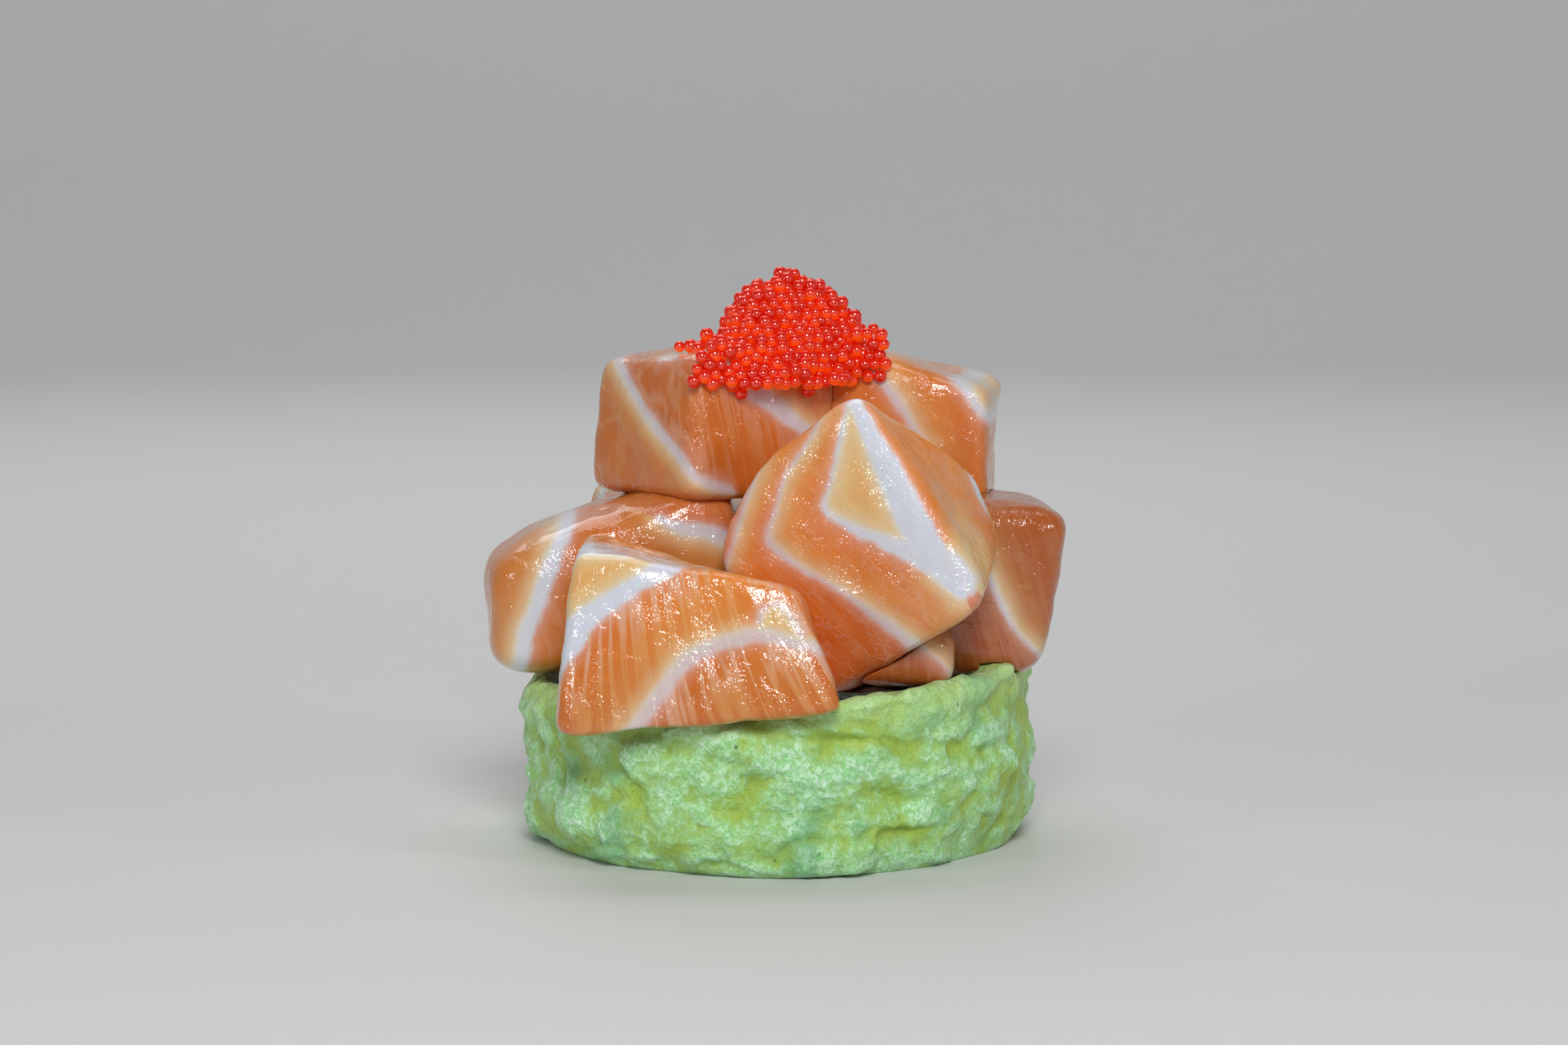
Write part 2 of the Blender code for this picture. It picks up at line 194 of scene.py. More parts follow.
# Each salmon block has a centre, its edge lengths, its turn in degrees and its squareness, the pulls on its
# corners and its swells, as in the imported model, and the blocks that it rests on. Only the squareness of
# salmon_front_right is less than there, so its edges are a little rounder.
# Its fat sheets are traced on one of its sides, as points (across, up, half thickness) on the block's own
# axes, and run through it from there, shifted by the lean for each millimetre of depth. The flesh on a
# sheet's left, looking from its first point to its last, is paler. A sheet with a reach ends at that depth.
# "red" is how red the flesh is: in the block's middle, and how much more at the ends of its three axes.
# "deep" is how dark it is, in the same way: partly the flesh's own deeper red and partly painted shade, on
# the sides and bottoms that the light falls off and on the blocks that lie behind or under others. "grain"
# is the fibres' slope on the front and how that slope grows along the block, "streaks" is how strong they
# are, and "net" how strong the net of thin walls is.
SALMON = {
    "salmon_front_left": {
        "centre": (-8.5, -19.3, 25.2), "size": (29.0, 17.0, 17.5), "turn": (-4, 1, -4), "square": 12,
        "pulls": {
            (-1, -1, -1): (2.0, -0.5, -3.0), (-1, -1, 1): (3.0, 2.0, -1.0), (-1, 1, 1): (3.0, 0.0, 1.0),
            (1, -1, -1): (2.5, -1.5, 0.8), (1, -1, 1): (-3.0, 1.0, -3.8), (1, 1, 1): (-3.0, 0.0, -6.6),
        },
        "sheets": [
            {"side": "front", "lean": (0.0, 0.4), "white": 1.0, "pale": (0.9, 4.0), "line": [
                (-17, -6.5, 2.2), (-12, -1.1, 2.1), (-10.1, 0.9, 1.6), (-8, 2.6, 1.3), (-5.7, 4.2, 1.2),
                (-4, 5.5, 1.1), (-1.6, 7.6, 1.6), (-3.5, 9.4, 1.8), (-8, 9.8, 1.8), (-17, 9.6, 1.9),
            ]},
            {"side": "front", "lean": (0.0, 0.4), "white": 0.6, "pale": (0.35, 1.5), "line": [
                (-6, -12, 1.0), (-3.5, -8.7, 1.0), (-2.2, -6.7, 1.0), (-0.6, -4.5, 1.0), (1, -2.6, 1.0),
                (3.3, -1.3, 1.0), (5.3, -0.7, 1.0), (7.3, -0.1, 0.9), (9.3, -0.2, 0.9), (11.3, -0.8, 0.9),
                (14.5, -1.2, 0.8),
            ]},
            {"side": "front", "lean": (0.0, 0.2), "white": 0.55, "pale": (0.9, 2.0), "reach": 5.0, "line": [
                (12.2, -0.8, 0.6), (11.2, 1.2, 0.6), (9.9, 2.6, 0.5), (8.6, 2.4, 0.4), (8.0, 1.0, 0.4),
            ]},
        ],
        "red": (0.0, 0.0, 0.0, -0.1), "deep": (0.1, 0.05, 0.0, -0.35), "grain": (0.22, 0.022),
        "streaks": 1.0,
    },
    "salmon_front_right": {
        "centre": (9.3, -11.4, 32.1), "size": (25.5, 15.0, 27.0), "turn": (0, -33, -27), "square": 7,
        "pulls": {
            (-1, -1, 1): (-1.0, 0.0, -8.0), (-1, 1, 1): (3.5, 0.0, -4.5), (-1, -1, -1): (2.5, 0.0, 1.0),
            (-1, 1, -1): (2.0, 0.0, 1.0), (1, 1, 1): (-4.5, 0.0, -4.0), (1, 1, -1): (-1.0, 0.0, 7.0),
            (1, -1, -1): (0.5, 0.0, -0.8), (1, -1, 1): (0.4, 0.0, 0.8),
        },
        "swells": {(1, 1, 0): (1.8, 1.8, 0.0), (-0.2, -1, 1): (0.0, 0.0, 3.4)},
        "rests_on": ["salmon_front_left"],
        "sheets": [
            {"side": "front", "lean": (0.5, 0.0), "white": 0.95, "pale": (1.0, 5.0), "line": [
                (11.5, 13.2, 0.5), (7.7, 9.3, 0.45), (4.6, 6.4, 0.45), (2.4, 4.2, 0.55), (4.1, 1.2, 0.7),
                (6.5, -2, 1.0), (9.3, -5.2, 1.6), (11.1, -7.7, 2.1), (11.9, -9.5, 1.7),
            ]},
            {"side": "front", "lean": (0.8, 0.0), "white": 1.0, "pale": (0.9, 2.5), "line": [
                (11.0, -10.2, 1.2), (10.3, -6, 2.0), (10.1, -2, 2.1), (10.4, 2, 1.9), (10.8, 6, 1.6),
                (11.1, 10, 1.2), (11.6, 15, 1.0),
            ]},
            {"side": "front", "lean": (0.5, 0.0), "white": 0.7, "pale": (0.4, 1.8), "line": [
                (7.5, 13.6, 0.4), (6.2, 12, 0.35), (3.1, 10.5, 0.35), (0.2, 9.3, 0.35), (-2.8, 6.8, 0.4),
                (-4.9, 5.0, 0.65), (-4.2, 2.4, 0.6), (-3.1, 0.3, 0.5), (-1.6, -2, 0.45),
                (-0.3, -4.2, 0.5), (1.2, -7.4, 0.65), (2.4, -9.7, 0.8), (3.6, -12.5, 0.9),
            ]},
            {"side": "front", "lean": (0.5, 0.0), "white": 0.6, "line": [
                (-0.5, 13.8, 0.5), (-1.3, 12.3, 0.5), (-3.1, 11, 0.5), (-6, 8.9, 0.5), (-8.7, 6.7, 0.5),
                (-12, 4.5, 0.4),
            ]},
            {"side": "right", "white": 0.95, "pale": (0.3, 0.8), "reach": 4.0, "line": [
                (8.0, 2.0, 0.3), (7.2, 0.3, 0.8), (6.6, -1.4, 0.8), (6.2, -3.0, 0.3),
            ]},
        ],
        "red": (0.2, -0.35, 0.0, -0.55), "deep": (0.0, 0.0, 0.0, -0.25), "grain": (0.3, 0.0),
        "streaks": 0.22, "net": 1.0,
    },
    "salmon_right": {
        "centre": (20.9, -1.0, 28.0), "size": (22.5, 20.0, 20.0), "turn": (0, 0, 10), "square": 6,
        "pulls": {
            (1, -1, -1): (-5.0, 0.0, 0.0), (1, 1, -1): (-4.5, 0.0, 0.0), (1, -1, 1): (-1.0, 0.0, -2.0),
            (1, 1, 1): (-1.0, 0.0, -1.5),
        },
        "rests_on": ["salmon_front_right"],
        "sheets": [
            {"side": "front", "lean": (0.15, 0.0), "white": 0.75, "line": [
                (-1.2, 4.5, 0.4), (-0.4, 2.8, 0.45), (0.3, 1.1, 0.5), (1.3, -1, 0.5), (2.2, -2.9, 0.45),
                (3.1, -4.5, 0.4), (4.4, -5.9, 0.35), (6.5, -7.6, 0.3), (10, -9.5, 0.3),
            ]},
        ],
        "red": (0.35, -0.2, 0.0, -0.2), "deep": (1.0, -0.1, 0.0, -0.1), "grain": (0.3, 0.0),
        "streaks": 0.28, "net": 0.15,
    },
    "salmon_left": {
        "centre": (-20.5, 1.0, 28.1), "size": (34.5, 18.0, 19.8), "turn": (0, -6, 5), "square": 5,
        "pulls": {
            (-1, -1, -1): (6.5, 0.0, 0.6), (-1, 1, -1): (6.0, 0.0, 0.2), (-1, -1, 1): (7.0, 0.0, -6.5),
            (-1, 1, 1): (7.0, 0.0, -6.0),
        },
        "swells": {(-0.2, 0, 1): (0.0, 0.0, 0.8)},
        "rests_on": ["salmon_front_left"],
        "sheets": [
            {"side": "front", "white": 0.95, "line": [
                (-8.6, -9.5, 1.0), (-7.6, -7.6, 1.0), (-6.8, -4.6, 1.0), (-5.7, -2.6, 1.0),
                (-4.3, 0.5, 1.05), (-2.8, 3.4, 1.0), (-1.7, 5.2, 0.9), (-0.7, 7, 0.8), (0.4, 9.5, 0.7),
            ]},
            {"side": "front", "lean": (0.0, 0.1), "white": 0.8, "line": [
                (18, 1.5, 0.8), (15, 3.0, 1.0), (13, 3.9, 1.0), (10.7, 4.5, 0.9), (8.5, 5.8, 0.5),
            ]},
        ],
        "red": (0.0, 0.05, 0.0, 0.25), "deep": (0.35, -0.2, 0.0, 0.1), "grain": (0.2, 0.0),
        "streaks": 0.2,
    },
    "salmon_top_left": {
        "centre": (-3.6, 5.9, 44.8), "size": (24.0, 20.0, 16.6), "turn": (0, 0, 33), "square": 10,
        "pulls": {
            (-1, -1, 1): (0.5, 0.0, -0.5), (-1, 1, -1): (-1.5, 0.5, 0.0), (-1, 1, 1): (-0.5, 0.0, -2.0),
        },
        "rests_on": ["salmon_front_left", "salmon_front_right", "salmon_left"],
        "sheets": [
            {"side": "left", "lean": (0.0, 0.37), "white": 0.75, "reach": 8.0, "line": [
                (9, 8.5, 0.8), (5.2, 5.3, 0.85), (2.4, 3.4, 0.85), (-0.3, 1.1, 0.85), (-3.6, -1.2, 0.85),
                (-7.1, -3.4, 0.8), (-9.5, -5.4, 0.7), (-11, -6.5, 0.5),
            ]},
            {"side": "front", "lean": (0.2, 0.0), "white": 0.85, "reach": 12.0, "line": [
                (-9, 6.4, 0.9), (-5.7, 4.2, 1.1), (-3.7, 3.1, 1.2), (-1.6, 1.7, 1.2), (0.5, 0.1, 1.0),
                (2.2, -1, 0.8), (6, -4, 0.6),
            ]},
        ],
        "red": (0.3, 0.15, 0.0, 0.05), "deep": (0.1, -0.35, 0.0, 0.0), "grain": (0.2, 0.0),
        "streaks": 0.45,
    },
    "salmon_top_right": {
        "centre": (15.0, 8.0, 44.0), "size": (19.0, 18.0, 17.0), "turn": (0, 0, -10), "square": 10,
        "pulls": {(1, -1, 1): (0.3, 0.0, -4.5), (1, 1, 1): (0.0, 0.0, -4.0)},
        "swells": {(-0.3, -0.5, 1): (0.0, -0.4, 0.9), (1, 1, -0.2): (-1.4, -1.4, 0.0)},
        "rests_on": ["salmon_front_right", "salmon_right", "salmon_top_left"],
        "sheets": [
            {"side": "front", "white": 0.9, "line": [
                (4.0, 8, 0.7), (6.0, 5.6, 0.7), (7.6, 3.8, 0.7), (9.2, 1.6, 0.7), (11.0, 0.6, 0.6),
                (14, 0.0, 0.6),
            ]},
            {"side": "front", "white": 0.7, "line": [
                (-4, 7.2, 0.6), (-1.5, 4.9, 0.7), (-0.5, 3.7, 0.7), (0.6, 2.2, 0.65), (1.4, 0.7, 0.6),
                (3, -2, 0.6),
            ]},
        ],
        "red": (0.05, 0.0, 0.0, -0.1), "deep": (0.15, 0.1, 0.0, 0.0), "grain": (0.3, 0.0),
        "streaks": 0.15, "net": 0.1,
    },
    "salmon_under_right": {
        "centre": (13.7, -14.0, 21.2), "size": (10.5, 10.0, 6.0), "turn": (0, 0, 0), "square": 4,
        "rests_on": ["salmon_front_left", "salmon_front_right", "salmon_right"],
        "sheets": [
            {"side": "front", "white": 0.6, "line": [
                (0.5, 2.6, 0.2), (2.2, 1.4, 0.3), (3.2, 0.6, 0.3), (4.3, -0.5, 0.3), (5.5, -2.2, 0.3),
            ]},
        ],
        "red": (0.1, 0.0, 0.0, 0.0), "deep": (0.9, 0.0, 0.0, 0.0), "grain": (0.0, 0.0), "streaks": 0.2,
    },
    "salmon_back_left": {
        "centre": (-9.0, 19.5, 26.5), "size": (22.0, 17.0, 17.0), "turn": (8, 3, 14), "square": 10,
        "rests_on": ["salmon_left", "salmon_top_left", "salmon_top_right"],
        "sheets": [
            {"side": "back", "lean": (0.2, 0.3), "white": 0.95, "line": [
                (-12, -5, 1.0), (-7, -1.5, 0.9), (-3, 3, 0.9), (-4.5, 6, 0.9), (-9, 9, 0.8),
            ]},
            {"side": "back", "lean": (0.2, 0.1), "white": 0.85, "line": [
                (-3, -9.5, 0.8), (1.5, -4, 0.8), (5, 1, 0.8), (8, 9.5, 0.7),
            ]},
        ],
        "red": (0.2, 0.1, 0.0, -0.2), "deep": (0.2, 0.0, 0.1, -0.2), "grain": (0.2, 0.02), "streaks": 0.6,
        "net": 0.3,
    },
    "salmon_back_right": {
        "centre": (13.0, 19.3, 27.0), "size": (20.0, 17.0, 18.0), "turn": (6, -4, -16), "square": 10,
        "rests_on": ["salmon_right", "salmon_top_left", "salmon_top_right", "salmon_back_left"],
        "sheets": [
            {"side": "back", "lean": (-0.2, 0.2), "white": 0.9, "line": [
                (8, 10, 0.8), (4, 4, 0.9), (3, -1, 0.9), (7, -5, 0.9), (11, -7, 0.8),
            ]},
            {"side": "back", "lean": (-0.1, 0.2), "white": 0.8, "line": [
                (-2, 10, 0.7), (-5, 3, 0.8), (-6, -3, 0.8), (-3, -10, 0.7),
            ]},
        ],
        "red": (0.3, -0.1, 0.0, -0.2), "deep": (0.3, 0.0, 0.1, -0.2), "grain": (-0.2, 0.02),
        "streaks": 0.5, "net": 0.4,
    },
}

# For each side of a block: the axes across and up on it, the axis through it, and which way that faces
SIDES = {"front": (0, 2, 1, -1), "back": (0, 2, 1, 1), "left": (1, 2, 0, -1), "right": (1, 2, 0, 1)}

# The stage, in metres: each light's width, its place and what it faces
MIDDLE = (0.0, 0.0, 0.03)
LIGHTS = {
    "key": (0.17, (0.03, -0.45, 0.33), MIDDLE),
    "fill": (0.08, (-0.42, -0.34, 0.15), MIDDLE),
    "side": (0.07, (0.44, -0.26, 0.20), MIDDLE),
    "back": (0.4, (-0.1, 0.45, 0.55), MIDDLE),
    "wall": (0.8, (0.0, 0.3, 0.95), (0.0, 1.2, 0.25)),
}
SKY_COLOUR = (0.93, 0.96, 1.0, 1.0)
CAMERA_PLACE = (0.0013, -0.395, 0.0752)
CAMERA_TILT = math.radians(84)
CAMERA_LENS = 85  # in millimetres, as the sensor's width
CAMERA_WIDTH = 36
FLOOR_RINGS = (0.02, 0.1, 0.3, 0.6)
FLOOR_FLAT = 0.8  # how far out the floor starts to bend up, then its bend's radius and the wall's height
FLOOR_BEND = 0.4
WALL_TOP = 1.0


# Noise and lines


def lattice_noise(points, seed):
    """Gradient noise, from about -1 to 1, at points given in cells of the noise: each corner of a point's
    cell has a random slope, and the eight slopes are blended by a curve that is flat at the corners."""
    rng = np.random.default_rng(seed)
    order = rng.permutation(256)
    slopes = rng.normal(size=(256, 3))
    slopes /= np.linalg.norm(slopes, axis=1, keepdims=True)
    cell = np.floor(points).astype(np.int64)
    part = points - cell
    blend = part**3 * (part * (part * 6 - 15) + 10)
    total = np.zeros(len(points))
    for corner in itertools.product((0, 1), repeat=3):
        i = cell + corner
        pick = order[(order[(order[i[:, 0] & 255] + i[:, 1]) & 255] + i[:, 2]) & 255]
        share = np.prod(np.where(corner, blend, 1 - blend), axis=1)
        total += share * ((part - corner) * slopes[pick]).sum(1)
    return 1.6 * total


def layered_noise(points, size, layers, seed):
    """Lattice noise of the given size, with finer layers on top, each half as large and as strong."""
    total = np.zeros(len(points))
    for layer in range(layers):
        total += 0.5**layer * lattice_noise(points * 2**layer / size, seed + 7 * layer)
    return total


def waves(angle, seed, orders=(3, 5, 8, 13)):
    """A smooth uneven run round the circle, from about -1 to 1: sines, each weaker than the last."""
    phases = np.random.default_rng(seed).uniform(0, 2 * math.pi, len(orders))
    strengths = 1 / np.sqrt(np.arange(1, len(orders) + 1))
    total = sum(s * np.sin(n * angle + p) for n, p, s in zip(orders, phases, strengths))
    return total / strengths.sum()


def rise(value, low, high):
    """0 below low, 1 above high, and a smooth S between. A low above the high turns it round."""
    t = np.clip((value - low) / (high - low), 0, 1)
    return t * t * (3 - 2 * t)


def smooth_line(points, steps):
    """A curve through all the points, with that many steps between two of them: each stretch is a cubic
    whose slope at a point is half the way from the point before to the point after."""
    p = np.asarray(points, float)
    p = np.concatenate([2 * p[:1] - p[1:2], p, 2 * p[-1:] - p[-2:-1]])
    t = np.linspace(0, 1, steps, endpoint=False).reshape((-1,) + (1,) * (p.ndim - 1))
    stretches = []
    for a, b, c, d in zip(p[:-3], p[1:-2], p[2:-1], p[3:]):
        cubic = b + 0.5 * t * (c - a + t * (2 * a - 5 * b + 4 * c - d + t * (3 * (b - c) + d - a)))
        stretches.append(cubic)
    return np.concatenate([*stretches, p[-2:-1]])


def line_distance(points, line):
    """For points on a plane: how far each is from a line of short straight stretches, on which side of
    it, from -1 on the right to 1 on the left, and the line's further columns, such as its thickness, at
    the nearest place."""
    nearest = np.full(len(points), np.inf)
    left = np.zeros(len(points))
    extra = np.zeros((len(points), line.shape[1] - 2))
    for a, b in zip(line[:-1], line[1:]):
        along = b[:2] - a[:2]
        off = points - a[:2]
        t = np.clip(off @ along / (along @ along), 0, 1)
        distance = np.linalg.norm(off - t[:, None] * along, axis=1)
        closer = distance < nearest
        nearest[closer] = distance[closer]
        left[closer] = np.sign(along[0] * off[closer, 1] - along[1] * off[closer, 0])
        extra[closer] = (a[2:] + t[:, None] * (b - a)[2:])[closer]
    return nearest, left, extra


# Meshes


def add_piece(name, points_mm, faces, material, slot, replaced, **attributes):
    """A mesh object that rides on the body and stands for a node. The faces are arrays of corners, of one
    or more sizes. Each attribute holds a number or a vector for every point."""
    mesh = bpy.data.meshes.new(name)
    sizes = np.concatenate([np.full(len(block), block.shape[1]) for block in faces])
    corners = np.concatenate([block.ravel() for block in faces])
    mesh.vertices.add(len(points_mm))
    mesh.vertices.foreach_set("co", (np.asarray(points_mm) * MM).astype(np.float32).ravel())
    mesh.loops.add(len(corners))
    mesh.loops.foreach_set("vertex_index", corners.astype(np.int32))
    mesh.polygons.add(len(sizes))
    mesh.polygons.foreach_set("loop_start", (np.cumsum(sizes) - sizes).astype(np.int32))
    mesh.update(calc_edges=True)
    mesh.shade_smooth()
    for key, values in attributes.items():
        values = np.asarray(values, np.float32)
        if values.ndim == 1:
            mesh.attributes.new(key, "FLOAT", "POINT").data.foreach_set("value", values)
        else:
            mesh.attributes.new(key, "FLOAT_VECTOR", "POINT").data.foreach_set("vector", values.ravel())
    mesh.materials.append(material)
    piece = bpy.data.objects.new(name, mesh)
    bpy.context.scene.collection.objects.link(piece)
    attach(piece, "root")
    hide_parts(*replaced)


def point_normals(points, quads):
    """The direction out of a surface at each of its points: the sum of its quads' normals, by their
    area."""
    a, b, c, d = (points[quads[:, k]] for k in range(4))
    across = np.cross(c - a, d - b)
    total = np.zeros_like(points)
    for k in range(4):
        for axis in range(3):
            total[:, axis] += np.bincount(quads[:, k], across[:, axis], len(points))
    return total / np.maximum(np.linalg.norm(total, axis=1, keepdims=True), 1e-12)


def ring_quads(rows, columns, closed):
    """Quads of a grid of rings, each joined to the next, and the last to the first where it is closed."""
    i, j = np.meshgrid(np.arange(rows if closed else rows - 1), np.arange(columns), indexing="ij")
    down, right = (i + 1) % rows, (j + 1) % columns
    corners = [i * columns + j, i * columns + right, down * columns + right, down * columns + j]
    return np.stack(corners, -1).reshape(-1, 4)


def fan(centre, ring):
    """Triangles from one point to each two neighbours on a closed ring of points."""
    return np.stack([0 * ring + centre, ring, np.roll(ring, -1)], -1)


def cube_surface(steps):
    """Points on the cube from -1 to 1, a square grid on each side that shares its edge points with the
    next side, and the quads between them, facing out."""
    side = steps + 1
    u, v = np.meshgrid(np.arange(side), np.arange(side), indexing="ij")
    i, j = np.meshgrid(np.arange(steps), np.arange(steps), indexing="ij")
    first = (i * side + j).ravel()
    points, quads = [], []
    for axis, end in itertools.product(range(3), (0, 1)):
        face = np.empty((side * side, 3), np.int64)
        face[:, axis] = end * steps
        face[:, (axis + 1) % 3] = u.ravel()
        face[:, (axis + 2) % 3] = v.ravel()
        corners = np.stack([first, first + side, first + side + 1, first + 1], -1)
        quads.append((corners if end else corners[:, ::-1]) + len(points) * side * side)
        points.append(face)
    lattice, index = np.unique(np.concatenate(points), axis=0, return_inverse=True)
    return 2.0 * lattice / steps - 1, index.reshape(-1)[np.concatenate(quads)]


def round_cube(steps):
    """A ball of radius 1 made from the cube's grid, so that all its quads are about the same size."""
    points, quads = cube_surface(steps)
    points = np.tan(points * math.pi / 4)
    return points / np.linalg.norm(points, axis=1, keepdims=True), quads


def many(points, quads, places):
    """One mesh of copies: the points of a shape set at each place, a (3 x 3 matrix, centre) pair of
    arrays."""
    matrices, centres = places
    spots = np.einsum("nij,kj->nki", matrices, points) + centres[:, None]
    faces = quads[None] + len(points) * np.arange(len(centres))[:, None, None]
    return spots.reshape(-1, 3), faces.reshape(-1, 4)


# The salmon's shape


def block_turn(block):
    return np.array(Euler([math.radians(degrees) for degrees in block["turn"]], "XYZ").to_matrix())


def block_moves(block, unit):
    """What the pulls and the swells add at points of the rounded cube. A pull fades linearly from its
    corner to the others, and a swell as a bell curve round its spot."""
    moves = np.zeros_like(unit)
    for corner, pull in block.get("pulls", {}).items():
        moves += np.prod((1 + unit * np.array(corner)) / 2, axis=1, keepdims=True) * np.array(pull)
    for spot, swell in block.get("swells", {}).items():
        near = np.exp(-((unit - np.array(spot)) ** 2).sum(1, keepdims=True) / (2 * SWELL_WIDTH**2))
        moves += near * np.array(swell)
    return moves


def block_surface(block, grid):
    """The block's own coordinates of a cube's grid: drawn in to a superellipsoid of the block's
    squareness, stretched to its size, and moved by its pulls and swells."""
    unit = grid * ((np.abs(grid) ** block["square"]).sum(1, keepdims=True) ** (-1 / block["square"]))
    return unit * np.array(block["size"]) / 2 + block_moves(block, unit)


def inside_block(block, points, gap, rounds=8):
    """Whether points lie in the block grown by the gap. The rounded cube's own coordinates of a point are
    found by taking off the moves a few times over, and it lies inside where their superellipsoid sum is
    under 1."""
    local = (points - np.array(block["centre"])) @ block_turn(block)
    half = np.array(block["size"]) / 2 + gap
    unit = local / half
    for _ in range(rounds):
        unit = (local - block_moves(block, np.clip(unit, -1.5, 1.5))) / half
    return (np.abs(np.clip(unit, -3, 3)) ** block["square"]).sum(1) < 1


def inside_roll(points, gap):
    """Whether points lie in the roll grown by the gap: under the rice's top, the seaweed's edge or the
    rim, and inside the batter's outer side, which rounds in at the rim."""
    x, y, z = points.T
    angle = np.arctan2(y - ROLL_CENTRE[1], x - ROLL_CENTRE[0])
    radius = np.hypot(x - ROLL_CENTRE[0], y - ROLL_CENTRE[1])
    rim = rim_height(angle)
    outer = batter_radius(angle, np.minimum(z, rim))
    rounded = np.clip((radius - (outer - RIM_ROUNDING)) / RIM_ROUNDING, 0, 1)
    lip = ROLL_RADIUS - BATTER_THICKNESS
    top = np.where(radius > lip, rim - RIM_OUTER_DROP * rounded**2, seaweed_top(angle))
    top = np.where(radius < lip - 2 * LAYER_GAP - SEAWEED_THICKNESS, RICE_TOP + RICE_CLEAR, top)
    return (z < top + gap) & (radius < outer + gap)


def block_tests(names, gap):
    """For each named block, the test of whether points lie in it when it is grown by the gap."""
    return [lambda spots, block=SALMON[name]: inside_block(block, spots, gap) for name in names]


def caught_by(tests, points):
    return np.any([test(points) for test in tests], axis=0)


def press_in(points, towards, tests, halvings=11):
    """Moves each point that any test finds inside a neighbour straight towards a place until it lies
    clear: halving steps find the last clear spot on the way."""
    caught = np.flatnonzero(caught_by(tests, points))
    clear, taken = np.zeros(len(caught)), np.ones(len(caught))
    start = np.broadcast_to(towards, points.shape)[caught]
    way = points[caught] - start
    for _ in range(halvings):
        middle = (clear + taken) / 2
        hit = caught_by(tests, start + middle[:, None] * way)
        taken = np.where(hit, middle, taken)
        clear = np.where(hit, clear, middle)
    pressed = points.copy()
    pressed[caught] = start + clear[:, None] * way
    return pressed


def fat_sheets(block, local):
    """For points in the block's own coordinates: how far each is outside the nearest fat sheet, how far
    it is from that sheet's middle with a plus sign on the pale side, how white the sheet is, and how
    yellow and how red the sheets make the flesh around them. Between two sheets, the nearer one's side
    counts more."""
    half = np.array(block["size"]) / 2
    edge, side = np.full(len(local), NO_SHEET), np.full(len(local), -NO_SHEET)
    white, yellow, red = np.ones(len(local)), np.zeros(len(local)), np.zeros(len(local))
    pale_weight, weight = np.zeros(len(local)), np.full(len(local), 1e-9)
    for sheet in block["sheets"]:
        across, up, through, facing = SIDES[sheet["side"]]
        depth = half[through] - facing * local[:, through]
        spots = local[:, [across, up]] + depth[:, None] * np.array(sheet.get("lean", (0, 0)))
        distance, left, thick = line_distance(spots, smooth_line(sheet["line"], steps=6))
        outside = distance - thick[:, 0]
        if "reach" in sheet:
            outside = outside + 4 * rise(depth, SHEET_END * sheet["reach"], sheet["reach"])
        closer = outside < edge
        edge = np.where(closer, outside, edge)
        side = np.where(closer, left * distance, side)
        white = np.where(closer, sheet["white"], white)
        outside = np.maximum(outside, 0)
        strength, far = sheet.get("pale", PALE_FLESH)
        yellow = np.maximum(yellow, (left > 0) * strength * np.minimum(1.3 * np.exp(-outside / far), 1))
        red = np.maximum(red, (left < 0) * np.exp(-outside / RED_REACH))
        weight += np.exp(-outside / SIDE_BLEND)
        pale_weight += (left > 0) * np.exp(-outside / SIDE_BLEND)
    pale = pale_weight / weight
    return edge, side, white, yellow * pale, red * (1 - pale)


# The roll's shape


def rim_height(angle):
    dent = RIM_DENT * np.exp(-(((angle - RIM_DENT_SIDE) / RIM_DENT_WIDTH) ** 2))
    knob = RIM_KNOB * np.exp(-(((angle - RIM_KNOB_SIDE) / RIM_KNOB_WIDTH) ** 2))
    return RIM_HEIGHT + RIM_TILT * np.cos(angle - RIM_HIGH_SIDE) + RIM_WAVE * waves(angle, 11) - dent + knob


def seaweed_top(angle):
    return RICE_TOP + SEAWEED_ABOVE_RICE + SEAWEED_WAVE * waves(angle, 41)


def batter_radius(angle, height):
    """The batter's outer radius: a near circle, lumpy round it and up it, with folds that go round."""
    lumps = waves(angle + 0.06 * height, 44) + 0.8 * waves(angle - 0.11 * height, 116, (4, 7, 11))
    folds = np.sin(0.62 * height + 2.0 * np.sin(angle + 0.8) + 0.9)
    return ROLL_RADIUS + BATTER_LUMP * lumps + BATTER_FOLD * folds


def roll_ring(angle, radius, height):
    """One ring of points round the roll's axis. Its radius and height are numbers, or one for each
    point."""
    x = ROLL_CENTRE[0] + radius * np.cos(angle)
    y = ROLL_CENTRE[1] + radius * np.sin(angle)
    return np.stack([x, y, height + 0 * angle], -1)


